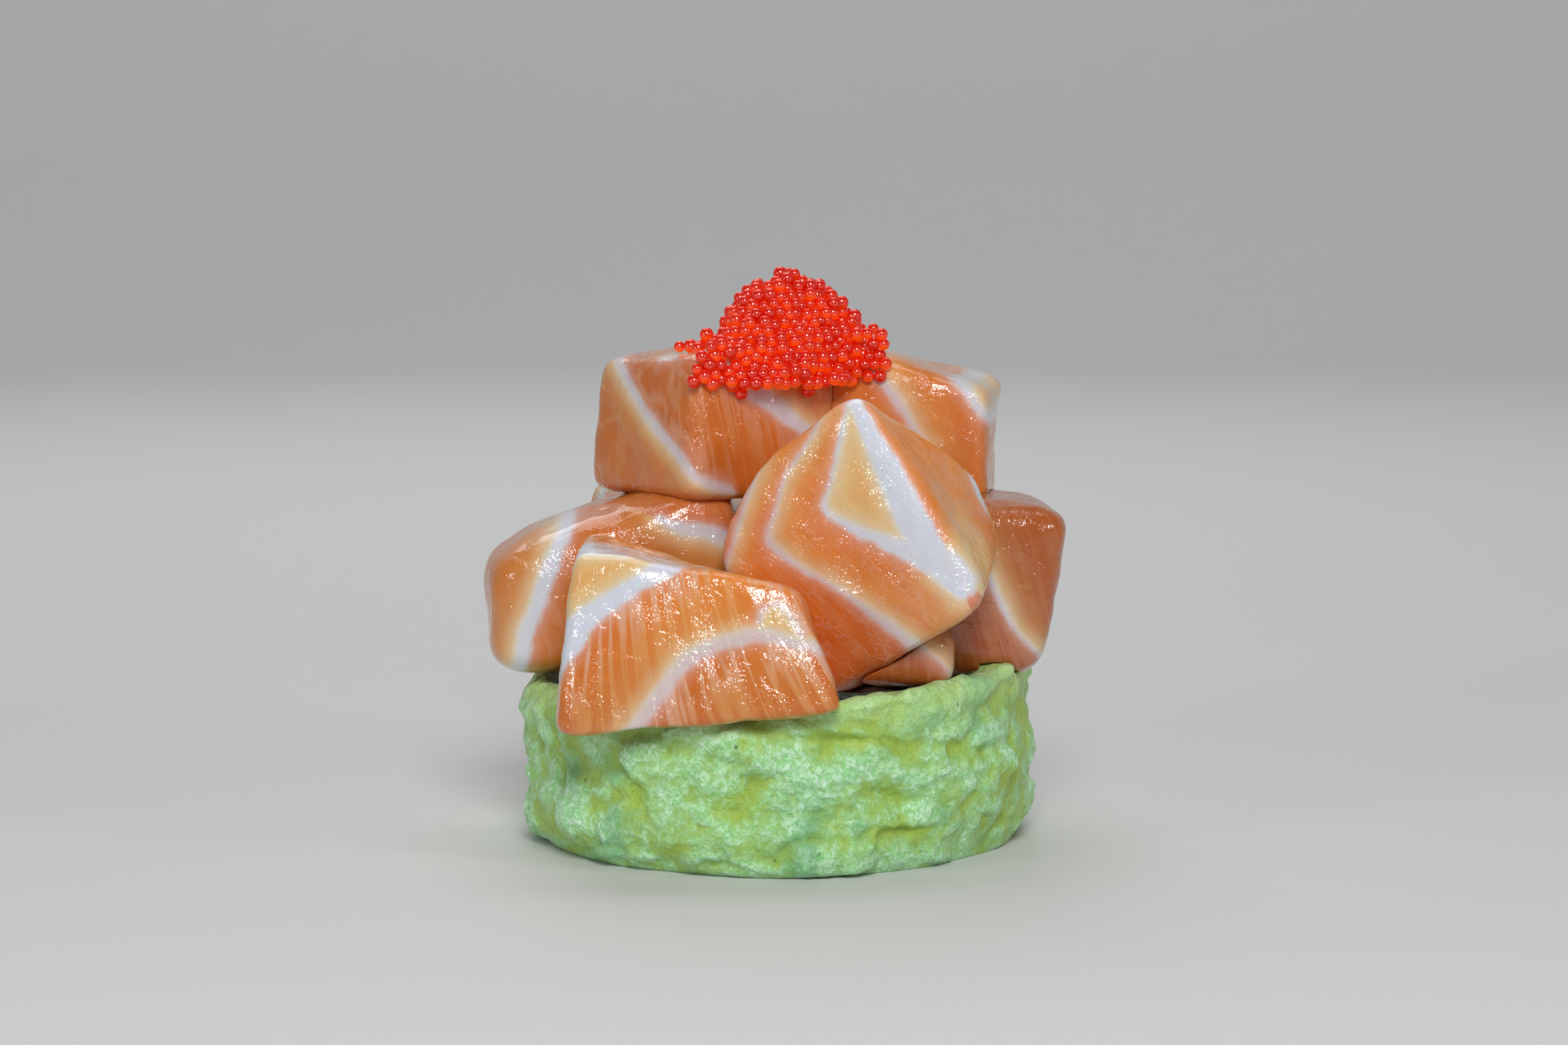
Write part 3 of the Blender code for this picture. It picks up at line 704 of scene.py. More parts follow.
def batter_section(angle, steps):
    """The batter's section as rings: from the inner foot, round the outer one, up the side and over the
    rim, on one smooth curve, and then straight down the inner wall."""
    inner = ROLL_RADIUS - BATTER_THICKNESS
    rim = rim_height(angle)
    lift = FOOT_RAGGED * (0.5 + 0.5 * waves(angle, 31))
    lift += FOOT_NICKS * np.maximum(waves(angle, 32, (17, 29, 43, 71)), 0)
    (start, end), (start_ramp, end_ramp) = FOOT_LIFT_SIDE, FOOT_LIFT_ENDS
    lifted = rise(angle, start - start_ramp, start + start_ramp) * rise(angle, end + end_ramp, end)
    lift += FOOT_LIFT * lifted
    rings = [
        roll_ring(angle, inner, 0),
        roll_ring(angle, batter_radius(angle, 0) - FOOT_ROUNDING, 0),
        roll_ring(angle, batter_radius(angle, 1) - 0.4 * FOOT_ROUNDING, lift + 0.35 * FOOT_ROUNDING),
    ]
    for share in SIDE_RINGS:
        height = lift + share * (rim - lift)
        rings.append(roll_ring(angle, batter_radius(angle, height), height))
    outer = batter_radius(angle, rim)
    rings += [
        roll_ring(angle, outer - 0.25 * RIM_ROUNDING, rim - 0.4 * RIM_ROUNDING),
        roll_ring(angle, outer - RIM_ROUNDING, rim),
        roll_ring(angle, inner, rim - RIM_INNER_DROP),
    ]
    curve = smooth_line(rings, steps)
    wall = [roll_ring(angle, inner, share * (rim - RIM_INNER_DROP)) for share in (0.75, 0.5, 0.25)]
    section = np.concatenate([curve, wall])
    section[..., 2] = np.maximum(section[..., 2], 0)
    return section


def batter_relief(points, lump, fine):
    """How far the batter stands out at each point: soft lumps, warped by coarser noise so that they look
    dragged round the roll, then the creases, and a finer crumbly layer."""
    angle = np.arctan2(points[:, 1] - ROLL_CENTRE[1], points[:, 0] - ROLL_CENTRE[0])
    drag = np.stack([layered_noise(points, DRAG_SIZE, 2, seed) for seed in (3, 4, 5)], -1)
    stretched = (points + DRAG_LENGTH * drag) * np.array(LUMP_STRETCH)
    large, small = (layered_noise(stretched, size, 2, seed) for size, seed in zip(LUMP_SIZES, (21, 24)))
    lumps = lump * (large + SMALL_LUMPS * small)
    flat = np.stack([angle * ROLL_RADIUS, points[:, 2]], -1) + 0.9 * drag[:, :2]
    around = 2 * math.pi * ROLL_RADIUS
    for crease in CREASES:
        path = smooth_line([(math.radians(a) * ROLL_RADIUS, z) for a, z in crease["path"]], steps=5)
        distance, left, _ = line_distance(flat, path)
        beyond, left_beyond, _ = line_distance(flat + [around, 0], path)
        left = np.where(beyond < distance, left_beyond, left)
        distance = np.minimum(distance, beyond)
        lumps -= crease["deep"] * np.exp(-((distance / crease["wide"]) ** 2))
        lip = rise(distance, 0, crease["wide"]) * np.exp(-distance / LIP_REACH)
        lumps += crease["lip"] * (left > 0) * lip
    crumbs = layered_noise(points + 0.4 * drag, CRUMB_SIZE, 3, 61)
    return lumps + fine * crumbs


# Materials


class Finish:
    """A Principled material built from nodes. Its methods add a node and give back the node's output."""

    def __init__(self, name):
        self.material = bpy.data.materials.new(name)
        self.material.use_nodes = True
        self.tree = self.material.node_tree
        self.shader = self.tree.nodes["Principled BSDF"]

    def node(self, kind, inputs, **settings):
        made = self.tree.nodes.new("ShaderNode" + kind)
        for key, value in settings.items():
            setattr(made, key, value)
        for key, value in inputs.items():
            self.feed(made.inputs[key], value)
        return made

    def feed(self, socket, value):
        if isinstance(value, bpy.types.NodeSocket):
            self.tree.links.new(value, socket)
        elif socket.type == "RGBA":
            socket.default_value = (*value[:3], 1.0)
        else:
            socket.default_value = value

    def set(self, **values):
        """Feeds the Principled shader's sockets, named with _ for a space."""
        for key, value in values.items():
            self.feed(self.shader.inputs[key.replace("_", " ")], value)

    def attribute(self, name):
        return self.node("Attribute", {}, attribute_name=name).outputs

    def split(self, vector):
        return self.node("SeparateXYZ", {0: vector}).outputs

    def object_mm(self):
        """The object's own coordinates in millimetres."""
        place = self.node("TexCoord", {}).outputs["Object"]
        return self.node("Mapping", {"Vector": place, "Scale": (1 / MM,) * 3}).outputs[0]

    def stretch(self, vector, scale):
        return self.node("Mapping", {"Vector": vector, "Scale": scale}).outputs[0]

    def math(self, operation, a, b=0.0, clamp=False):
        return self.node("Math", {0: a, 1: b}, operation=operation, use_clamp=clamp).outputs[0]

    def plus(self, a, b, clamp=False):
        return self.math("ADD", a, b, clamp)

    def times(self, *values):
        total = values[0]
        for value in values[1:]:
            total = self.math("MULTIPLY", total, value)
        return total

    def rise(self, value, low, high, top=1.0):
        """0 below low, the top above high, and a smooth S between. A low above the high turns it
        round."""
        ends = {"Value": value, "From Min": low, "From Max": high, "To Max": top}
        return self.node("MapRange", ends, interpolation_type="SMOOTHSTEP").outputs[0]

    def mix(self, share, a, b):
        return self.node("Mix", {0: share, 6: a, 7: b}, data_type="RGBA").outputs[2]

    def noise(self, vector, size, detail=2.0, rough=0.5, warp=0.0):
        inputs = {"Vector": vector, "Scale": 1 / size}
        inputs.update(Detail=detail, Roughness=rough, Distortion=warp)
        return self.node("TexNoise", inputs).outputs[0]

    def swing(self, vector, size, detail=2.0, rough=0.5, warp=0.0):
        """The same noise, from about -0.5 to 0.5."""
        return self.math("SUBTRACT", self.noise(vector, size, detail, rough, warp), 0.5)

    def warp(self, vector, size, amount):
        """The vector pushed about by noise of that size."""
        push = self.node("TexNoise", {"Vector": vector, "Scale": 1 / size}).outputs["Color"]
        push = self.node("VectorMath", {0: push, 1: (0.5,) * 3}, operation="SUBTRACT").outputs[0]
        inputs = {0: push, 1: (amount,) * 3, 2: vector}
        return self.node("VectorMath", inputs, operation="MULTIPLY_ADD").outputs[0]

    def cell_walls(self, vector, size):
        """How far a place is from the nearest wall between irregular cells, 0 on the wall."""
        inputs = {"Vector": vector, "Scale": 1 / size}
        return self.node("TexVoronoi", inputs, feature="DISTANCE_TO_EDGE").outputs["Distance"]

    def bump(self, height, depth_mm, below=None):
        """A normal that makes the height, from 0 to 1, stand that many millimetres proud."""
        made = self.node("Bump", {"Height": height, "Distance": depth_mm * MM, "Strength": 1.0})
        if below is not None:
            self.feed(made.inputs["Normal"], below)
        return made.outputs[0]


def salmon_material(look):
    """Raw flesh: pale fat sheets that fade out through cream on one side and have a pink fringe on the
    other, yellower and redder flesh next to them, darker flesh that is partly painted shade, pale fibres, a
    net of thin walls, and a wet film."""
    finish = Finish("salmon")
    grain = finish.attribute("grain")["Vector"]
    edge, side, white_most = finish.split(finish.attribute("fat")["Vector"])
    yellow, red, wet = finish.split(finish.attribute("tone")["Vector"])
    streaks, net, deep = finish.split(finish.attribute("weave")["Vector"])
    place = finish.object_mm()

    broad = finish.swing(finish.stretch(grain, (0.7, 0.035, 0.3)), 1.0, warp=0.2)
    fibres = finish.rise(finish.math("ABSOLUTE", broad), 0.11, 0.0)
    fine = finish.noise(finish.stretch(grain, (1.9, 0.12, 0.35)), 1.0, detail=3.0, rough=0.6)
    fine_fibres = finish.rise(fine, 0.5, 0.78)
    red_side = finish.rise(side, 0.15, -0.15)
    ragged = finish.plus(edge, finish.times(finish.swing(place, 1.6, detail=3.0, rough=0.55), 0.9))

    redness = finish.plus(red, finish.times(finish.swing(place, 6.0, detail=3.0), 0.7), clamp=True)
    flesh = finish.mix(redness, look.flesh, look.red_flesh)
    # darker flesh: partly the flesh's own deeper red, partly painted shade
    flesh = finish.mix(deep, flesh, look.deep_flesh_and_painted_shade)
    flesh = finish.mix(yellow, flesh, look.pale_flesh)
    lines = finish.plus(finish.times(fibres, 0.28), finish.times(fine_fibres, 0.22))
    flesh = finish.mix(finish.times(lines, streaks), flesh, look.pale_flesh)
    cells = finish.cell_walls(finish.warp(finish.stretch(grain, (1.0, 0.75, 0.8)), 0.8, 0.6), 1.0)
    patchy = finish.rise(finish.noise(place, 1.6, detail=3.0), 0.4, 0.62)
    walls = finish.times(finish.rise(cells, 0.12, 0.0), net, patchy)
    flesh = finish.mix(finish.times(walls, 0.26), flesh, look.pink_fat)

    hanging = finish.times(fibres, streaks, red_side, finish.rise(ragged, 5.0, -0.5), 0.65)
    haze = finish.times(finish.rise(ragged, 1.6, -0.2), red_side, 0.4)
    colour = finish.mix(finish.math("MAXIMUM", hanging, haze), flesh, look.pink_fat)
    fade = finish.math("SUBTRACT", 1.0, red_side)
    cream = finish.times(finish.rise(edge, 1.7, -0.2), fade, white_most, 0.5)
    colour = finish.mix(cream, colour, look.cream_fat)
    fat = finish.mix(finish.times(finish.rise(edge, -0.9, 0.3), fade), look.fat, look.cream_fat)
    white = finish.times(finish.rise(ragged, 0.4, -0.5), white_most)
    finish.set(Base_Color=finish.mix(white, colour, fat))

    upright = finish.rise(wet, 0.1, 0.5)
    relief = finish.bump(finish.times(fibres, streaks, upright), FIBRE_RELIEF)
    relief = finish.bump(finish.times(fine, streaks, upright), FIBRE_RELIEF, relief)
    finish.set(Normal=finish.bump(finish.times(walls, upright), FIBRE_RELIEF, relief))
    patches = finish.rise(finish.noise(place, 2.6, rough=0.6), 0.48, 0.62, top=0.7)
    patches = finish.plus(finish.plus(0.3, patches), finish.rise(wet, 0.75, 1.0, top=0.5), clamp=True)
    glints = finish.bump(finish.times(finish.noise(place, 0.34, detail=1.0), patches, wet), 0.32)
    ripples = finish.times(finish.noise(place, 3.0, detail=1.0), wet)
    finish.set(Coat_Normal=finish.bump(ripples, 0.2, glints))
    finish.set(Roughness=0.45, IOR=1.36, Specular_IOR_Level=0.25)
    finish.set(Subsurface_Weight=0.7, Subsurface_Radius=(1.0, 0.4, 0.2), Subsurface_Scale=1.2 * MM)
    finish.set(Coat_Weight=1.0, Coat_Roughness=0.07, Coat_IOR=1.55)
    return finish.material


def batter_material(look):
    """Fried green batter: mint with pale fibrous crumbs on its crests and olive in its valleys and
    patches, mottled, with dark specks, and a finely crumbly surface that is a little moist."""
    finish = Finish("batter")
    place = finish.object_mm()
    crest = finish.attribute("crest")["Fac"]
    patches = finish.swing(place, 5.5, detail=3.0, rough=0.6, warp=0.5)
    mottle = finish.swing(place, 1.8, detail=3.0, rough=0.6, warp=0.6)
    fibre = finish.noise(place, 0.55, detail=4.0, rough=0.7, warp=0.8)
    high = finish.plus(finish.times(crest, 0.8), finish.times(patches, 2.4))
    high = finish.plus(high, finish.times(mottle, 2.6))
    colour = finish.mix(finish.rise(high, -0.95, 0.85), look.batter_valley, look.batter_crest)
    frost = finish.times(finish.rise(fibre, 0.4, 0.62), finish.rise(high, -0.6, 0.8), 0.95)
    colour = finish.mix(frost, colour, look.batter_frost)
    rim = finish.rise(finish.plus(finish.split(place)[2], finish.times(patches, 9.0)), 14.0, 18.0, top=0.55)
    colour = finish.mix(rim, colour, look.batter_rim)
    cool = finish.rise(finish.noise(place, 7.0, detail=3.0), 0.52, 0.7, top=0.45)
    colour = finish.mix(cool, colour, look.batter_blue)
    spots = finish.node("TexVoronoi", {"Vector": place, "Scale": 1 / 2.2}).outputs["Distance"]
    some = finish.rise(finish.noise(place, 4.0), 0.52, 0.62)
    colour = finish.mix(finish.times(finish.rise(spots, 0.14, 0.04), some, 0.75), colour, look.batter_speck)
    finish.set(Base_Color=colour)
    rough = finish.bump(fibre, 0.26, finish.bump(mottle, 0.6))
    finish.set(Normal=finish.bump(finish.noise(place, 0.2), 0.05, rough))
    finish.set(Roughness=0.5, IOR=1.4)
    finish.set(Subsurface_Weight=0.5, Subsurface_Radius=(0.8, 1.0, 0.5), Subsurface_Scale=1.0 * MM)
    finish.set(Coat_Weight=0.2, Coat_Roughness=0.3)
    return finish.material


def roe_material(look):
    """Wet translucent eggs: red, each a little different, with a painted orange glow on their undersides
    that stands in for the light passing through them. Their emission is a painted glow for the same light."""
    finish = Finish("roe")
    tint = finish.attribute("tint")["Fac"]
    under = finish.attribute("under")["Fac"]
    colour = finish.mix(finish.rise(tint, 0.2, 1.0, top=0.6), look.egg_red, look.egg_dark)
    # painted glow: the undersides are coloured orange for light that passes through the eggs
    painted_glow = finish.times(finish.rise(under, 0.35, 1.0), finish.rise(tint, 0.95, 0.2), 0.9)
    colour = finish.mix(painted_glow, colour, look.egg_painted_glow)
    finish.set(Base_Color=colour, Roughness=0.2, IOR=2.4, Specular_Tint=look.egg_shine)
    finish.set(Subsurface_Weight=0.8, Subsurface_Radius=(1.0, 0.15, 0.05), Subsurface_Scale=1.6 * MM)
    # painted glow: the emission stands in for light that passes through the eggs
    finish.set(Emission_Color=colour, Emission_Strength=0.38)
    return finish.material


def rice_material(look):
    """Cooked rice: nearly white, a little clearer in patches, sticky."""
    finish = Finish("rice")
    place = finish.object_mm()
    colour = finish.mix(finish.noise(place, 3.0), look.rice, look.rice_shade)
    finish.set(Base_Color=colour, Roughness=0.35, IOR=1.38)
    finish.set(Normal=finish.bump(finish.noise(place, 0.7), 0.08))
    finish.set(Subsurface_Weight=0.5, Subsurface_Radius=(1.0, 0.9, 0.7), Subsurface_Scale=0.8 * MM)
    finish.set(Coat_Weight=0.4, Coat_Roughness=0.25)
    return finish.material


def seaweed_material(look):
    """Dark green-black sheet, crinkled and slightly shiny, with a painted sheen on its paler crinkles."""
    finish = Finish("seaweed")
    place = finish.object_mm()
    crinkle = finish.noise(place, 0.9, detail=4.0, rough=0.6, warp=0.8)
    # painted sheen: the crinkles are coloured paler than the sheet
    finish.set(Base_Color=finish.mix(crinkle, look.seaweed, look.seaweed_sheen))
    finish.set(Roughness=0.4, IOR=1.45, Normal=finish.bump(crinkle, 0.2))
    finish.set(Coat_Weight=0.3, Coat_Roughness=0.25)
    return finish.material


# Sizes and colours that a user may change


def colour_property(name, description, default):
    kept = {"subtype": "COLOR", "size": 3, "min": 0.0, "max": 1.0}
    return FloatVectorProperty(name=name, description=description, default=default, **kept)


def length_property(name, description, default_mm):
    kept = {"subtype": "DISTANCE", "unit": "LENGTH", "min": 0.0}
    return FloatProperty(name=name, description=description, default=default_mm * MM, **kept)


def power_property(name, description, default):
    return FloatProperty(name=name, description=description, unit="POWER", min=0.0, default=default)


class RollLook(bpy.types.PropertyGroup):
    batter_around: IntProperty(name="Batter steps", description="Points round it", min=64, default=720)
    batter_lump: length_property("Batter lumps", "Height of the batter's lumps", 0.78)
    batter_fine: length_property("Batter grit", "Height of the batter's fine relief", 0.14)
    batter_crest: colour_property("Batter crests", "Colour of its high spots", (0.33, 0.74, 0.30))
    batter_valley: colour_property("Batter valleys", "Colour of its low spots", (0.42, 0.60, 0.10))
    batter_frost: colour_property("Batter frost", "Colour of its pale fibres", (0.72, 1.0, 0.74))
    batter_rim: colour_property("Batter rim", "Colour of the batter near its cut edge", (0.60, 0.84, 0.30))
    batter_blue: colour_property("Batter shade", "Colour of the cooler patches", (0.13, 0.42, 0.20))
    batter_speck: colour_property("Batter specks", "Colour of the dark specks", (0.02, 0.08, 0.04))
    seaweed: colour_property("Seaweed", "Colour of the seaweed", (0.008, 0.014, 0.010))
    # the paler crinkle colour is a painted sheen
    seaweed_sheen: colour_property("Seaweed crinkles", "Colour of its paler crinkles", (0.03, 0.045, 0.03))
    rice: colour_property("Rice", "Colour of the rice", (0.80, 0.79, 0.72))
    rice_shade: colour_property("Rice shade", "Colour of the rice's clearer patches", (0.66, 0.65, 0.56))
    rice_grain: length_property("Rice grain", "Length of a rice grain", 5.4)


class SalmonLook(bpy.types.PropertyGroup):
    steps: IntProperty(name="Block steps", description="Grid steps along a block's edge", min=8, default=80)
    lump: length_property("Lumps", "Height of the blocks' soft lumps", 0.32)
    flesh: colour_property("Flesh", "Colour of the flesh", (0.76, 0.245, 0.030))
    red_flesh: colour_property("Red flesh", "Colour on a fat sheet's red side", (0.66, 0.110, 0.013))
    # the darkest flesh, partly the flesh's own colour and partly painted shade
    deep_flesh_and_painted_shade: colour_property("Deep flesh", "Colour of the darkest flesh", (0.40, 0.085, 0.012))
    pale_flesh: colour_property("Pale flesh", "Colour on a fat sheet's pale side", (0.76, 0.50, 0.20))
    fat: colour_property("Fat", "Colour of the fat", (0.66, 0.69, 0.77))
    cream_fat: colour_property("Cream fat", "Colour of the fat on its pale side", (0.76, 0.66, 0.46))
    pink_fat: colour_property("Pink fat", "Colour of the fringe on its red side", (0.76, 0.50, 0.42))


class RoeLook(bpy.types.PropertyGroup):
    diameter: length_property("Egg", "Diameter of an egg", 1.4)
    egg_red: colour_property("Egg red", "Colour of most eggs", (0.52, 0.010, 0.001))
    egg_dark: colour_property("Egg dark red", "Colour of the darker eggs", (0.42, 0.003, 0.001))
    egg_shine: colour_property("Egg shine", "Colour of the eggs' highlights", (1.0, 0.52, 0.44))
    # the colour of the painted glow on the eggs' undersides
    egg_painted_glow: colour_property("Egg glow", "Colour of the eggs' undersides", (0.90, 0.11, 0.002))


class StageLook(bpy.types.PropertyGroup):
    floor: colour_property("Floor", "Colour of the floor", (0.70, 0.70, 0.70))
    key: power_property("Key light", "Power of the main light", 1.7)
    fill: power_property("Fill light", "Power of the left light", 0.38)
    side: power_property("Side light", "Power of the right light", 0.25)
    back: power_property("Back light", "Power of the light behind", 0.8)
    wall: power_property("Wall light", "Power of the backdrop's light", 4.5)
    sky: FloatProperty(name="Surroundings", description="Brightness all round", min=0.0, default=0.06)


# Operators


class FUTOMAKI_OT_batter(bpy.types.Operator):
    """The ring of batter: its section carried round the roll, then moved along its own normals"""

    bl_idname = "futomaki.batter"
    bl_label = "Batter"

    def execute(self, context):
        look = context.scene.futomaki_roll
        angle = np.linspace(-math.pi, math.pi, look.batter_around, endpoint=False)
        section = batter_section(angle, steps=10)
        points = section.reshape(-1, 3)
        quads = ring_quads(len(section), len(angle), closed=True)
        normals = point_normals(points, quads)
        radius = np.hypot(points[:, 0] - ROLL_CENTRE[0], points[:, 1] - ROLL_CENTRE[1])
        from_wall = radius - (ROLL_RADIUS - BATTER_THICKNESS)
        loose = rise(from_wall, *RELIEF_START) * rise(points[:, 2], 0.0, RELIEF_FOOT)
        relief = batter_relief(points, look.batter_lump / MM, look.batter_fine / MM)
        moved = points + normals * (loose * relief)[:, None]
        moved[:, 2] = np.maximum(moved[:, 2], 0)
        axis = np.array([*ROLL_CENTRE, 0]) + moved * [0, 0, 1]
        inward = axis + (moved - axis) * BATTER_GIVES
        moved = press_in(moved, inward, block_tests(SALMON, TOUCH_GAP))
        crest = relief / (look.batter_lump / MM)
        add_piece("batter", moved, [quads], batter_material(look), "batter", ["batter"], crest=crest)
        return {"FINISHED"}


class FUTOMAKI_OT_seaweed(bpy.types.Operator):
    """The thin sheet between batter and rice: a tall narrow section carried round, nicked on top"""

    bl_idname = "futomaki.seaweed"
    bl_label = "Seaweed"

    def execute(self, context):
        look = context.scene.futomaki_roll
        around, up = SEAWEED_STEPS
        angle = np.linspace(-math.pi, math.pi, around, endpoint=False)
        outer = ROLL_RADIUS - BATTER_THICKNESS - LAYER_GAP
        inner = outer - SEAWEED_THICKNESS
        top = seaweed_top(angle) + SEAWEED_NICKS * waves(angle, 43, (31, 47, 71))
        shares = np.linspace(0, 1, up)
        wall_in = [roll_ring(angle, inner, share * top) for share in shares]
        wall_out = [roll_ring(angle, outer, share * top) for share in shares]
        section = np.array([*wall_in[::-1], *wall_out])
        points = section.reshape(-1, 3)
        crinkle = SEAWEED_CRINKLE * layered_noise(points, 3.0, 3, 91)
        out = (points - [*ROLL_CENTRE, 0]) * [1, 1, 0]
        points = points + out / np.linalg.norm(out, axis=1, keepdims=True) * crinkle[:, None]
        quads = ring_quads(len(section), len(angle), closed=True)
        add_piece("seaweed", points, [quads], seaweed_material(look), "seaweed", ["seaweed"])
        return {"FINISHED"}


class FUTOMAKI_OT_rice(bpy.types.Operator):
    """The rice: a core, with real grains lying on its top and in its cut foot"""

    bl_idname = "futomaki.rice"
    bl_label = "Rice"

    def execute(self, context):
        look = context.scene.futomaki_roll
        material = rice_material(look)
        angle = np.linspace(-math.pi, math.pi, RICE_STEPS, endpoint=False)
        radius = RICE_RADIUS - 0.2
        low, high = RICE_CORE_FOOT, RICE_TOP - RICE_CORE_DROP
        rings = [roll_ring(angle, share * radius, low) for share in (0.1, 0.5, 0.9)]
        levels = [low + share * (high - low) for share in (0.05, 0.35, 0.65, 0.95)]
        rings += [roll_ring(angle, radius, level) for level in levels]
        rings += [roll_ring(angle, share * radius, high) for share in (0.9, 0.5, 0.1)]
        centres = [[*ROLL_CENTRE, low], [*ROLL_CENTRE, high]]
        points = np.concatenate([*rings, centres])
        first = np.arange(len(angle))
        last = (len(rings) - 1) * len(angle) + first
        under = fan(len(points) - 2, first)[:, [0, 2, 1]]
        quads = ring_quads(len(rings), len(angle), closed=False)
        faces = [quads, under, fan(len(points) - 1, last)]
        add_piece("rice_core", points, faces, material, "rice", ["rice"])
        grains, grain_quads = self.grains(look.rice_grain / MM)
        add_piece("rice_grains", grains, [grain_quads], material, "rice", ["rice"])
        return {"FINISHED"}

    def grains(self, length):
        """Grains on a jittered triangular lattice, in two layers, each a stretched ball turned at random.
        The lower ones are cut flat where they meet the surface that the roll stands on."""
        rng = np.random.default_rng(17)
        pitch = GRAIN_PITCH * length
        i, j = np.meshgrid(np.arange(-20, 21), np.arange(-20, 21), indexing="ij")
        flat = np.stack([(i + 0.5 * j) * pitch, j * pitch * TRIANGLE_ROWS], -1).reshape(-1, 2)
        flat = flat[np.hypot(*flat.T) < RICE_RADIUS - GRAIN_MARGIN * length]
        flat = np.concatenate([flat, flat])
        flat = flat + rng.uniform(-GRAIN_SHAKE, GRAIN_SHAKE, flat.shape) * pitch
        upper = np.arange(len(flat)) < len(flat) / 2
        height = np.where(upper, *GRAIN_LAYERS) + rng.uniform(-GRAIN_SHAKE, GRAIN_SHAKE, len(flat))
        centres = np.column_stack([flat + ROLL_CENTRE, height])
        turn = rng.uniform(0, 2 * math.pi, len(flat))
        tilt = rng.normal(0, GRAIN_TILT, len(flat))
        size = rng.uniform(*GRAIN_SIZES, len(flat))
        along = np.stack([np.cos(turn) * np.cos(tilt), np.sin(turn) * np.cos(tilt), np.sin(tilt)], -1)
        across = np.stack([-np.sin(turn), np.cos(turn), 0 * turn], -1)
        up = np.cross(along, across)
        halves = [axis * half * length for axis, half in zip((along, across, up), GRAIN_HALVES)]
        axes = np.stack(halves, -1) * size[:, None, None]
        ball, quads = round_cube(3)
        points, faces = many(ball, quads, (axes, centres))
        points[:, 2] = np.clip(points[:, 2], 0, RICE_TOP + RICE_PROUD)
        return points, faces


class FUTOMAKI_OT_salmon(bpy.types.Operator):
    """The salmon: each block's lumpy surface, pressed in where it rests on the roll and on other
    blocks"""

    bl_idname = "futomaki.salmon"
    bl_label = "Salmon"

    def execute(self, context):
        look = context.scene.futomaki_salmon
        material = salmon_material(look)
        grid, quads = cube_surface(look.steps)
        for number, (name, block) in enumerate(SALMON.items()):
            local = block_surface(block, grid)
            lumps = layered_noise(local, SALMON_LUMP, 3, 300 + number) * look.lump / MM
            local = local + point_normals(local, quads) * lumps[:, None]
            placed = local @ block_turn(block).T + np.array(block["centre"])
            tests = block_tests(block.get("rests_on", []), TOUCH_GAP)
            tests.append(lambda spots: inside_roll(spots, TOUCH_GAP))
            pressed = press_in(placed, np.array(block["centre"]), tests)
            local = (pressed - np.array(block["centre"])) @ block_turn(block)
            pattern = self.patterns(block, local, point_normals(pressed, quads))
            add_piece(name, pressed, [quads], material, "salmon", [name], **pattern)
        return {"FINISHED"}

    def patterns(self, block, local, normals):
        """The attributes that the material reads. The film of water is thickest along the block's edges
        and thin on its level faces."""
        edge, side, white, yellow, red = fat_sheets(block, local)
        share = local / (np.array(block["size"]) / 2)
        base_red = block["red"][0] + share @ np.array(block["red"][1:])
        # how dark the flesh is: partly its own deeper red, partly painted shade on bottoms, shaded sides
        # and hidden blocks
        deep = block["deep"][0] + share @ np.array(block["deep"][1:])
        slope, growth = block["grain"]
        across = local[:, 0] + (slope + growth * local[:, 0]) * local[:, 2]
        streaks = np.full(len(local), block["streaks"])
        near_edge = rise(np.sort(np.abs(share), axis=1)[:, 1], 0.7, 0.92)
        steep = rise(np.abs(normals[:, 2]), 0.95, 0.6)
        upper = rise(share[:, 2], -0.6, 0.4)
        wet = (0.55 + 0.45 * near_edge) * steep * (0.75 + 0.25 * upper)
        net = block.get("net", 0.0) * rise(local[:, 2], 6, -6)
        return {
            "fat": np.stack([edge, side, white], -1),
            "tone": np.stack([yellow, np.clip(base_red + 0.35 * red, 0, 1), wet], -1),
            "grain": np.stack([across, local[:, 2], local[:, 1]], -1),
            "weave": np.stack([streaks, net, np.clip(deep, 0, 1)], -1),
        }


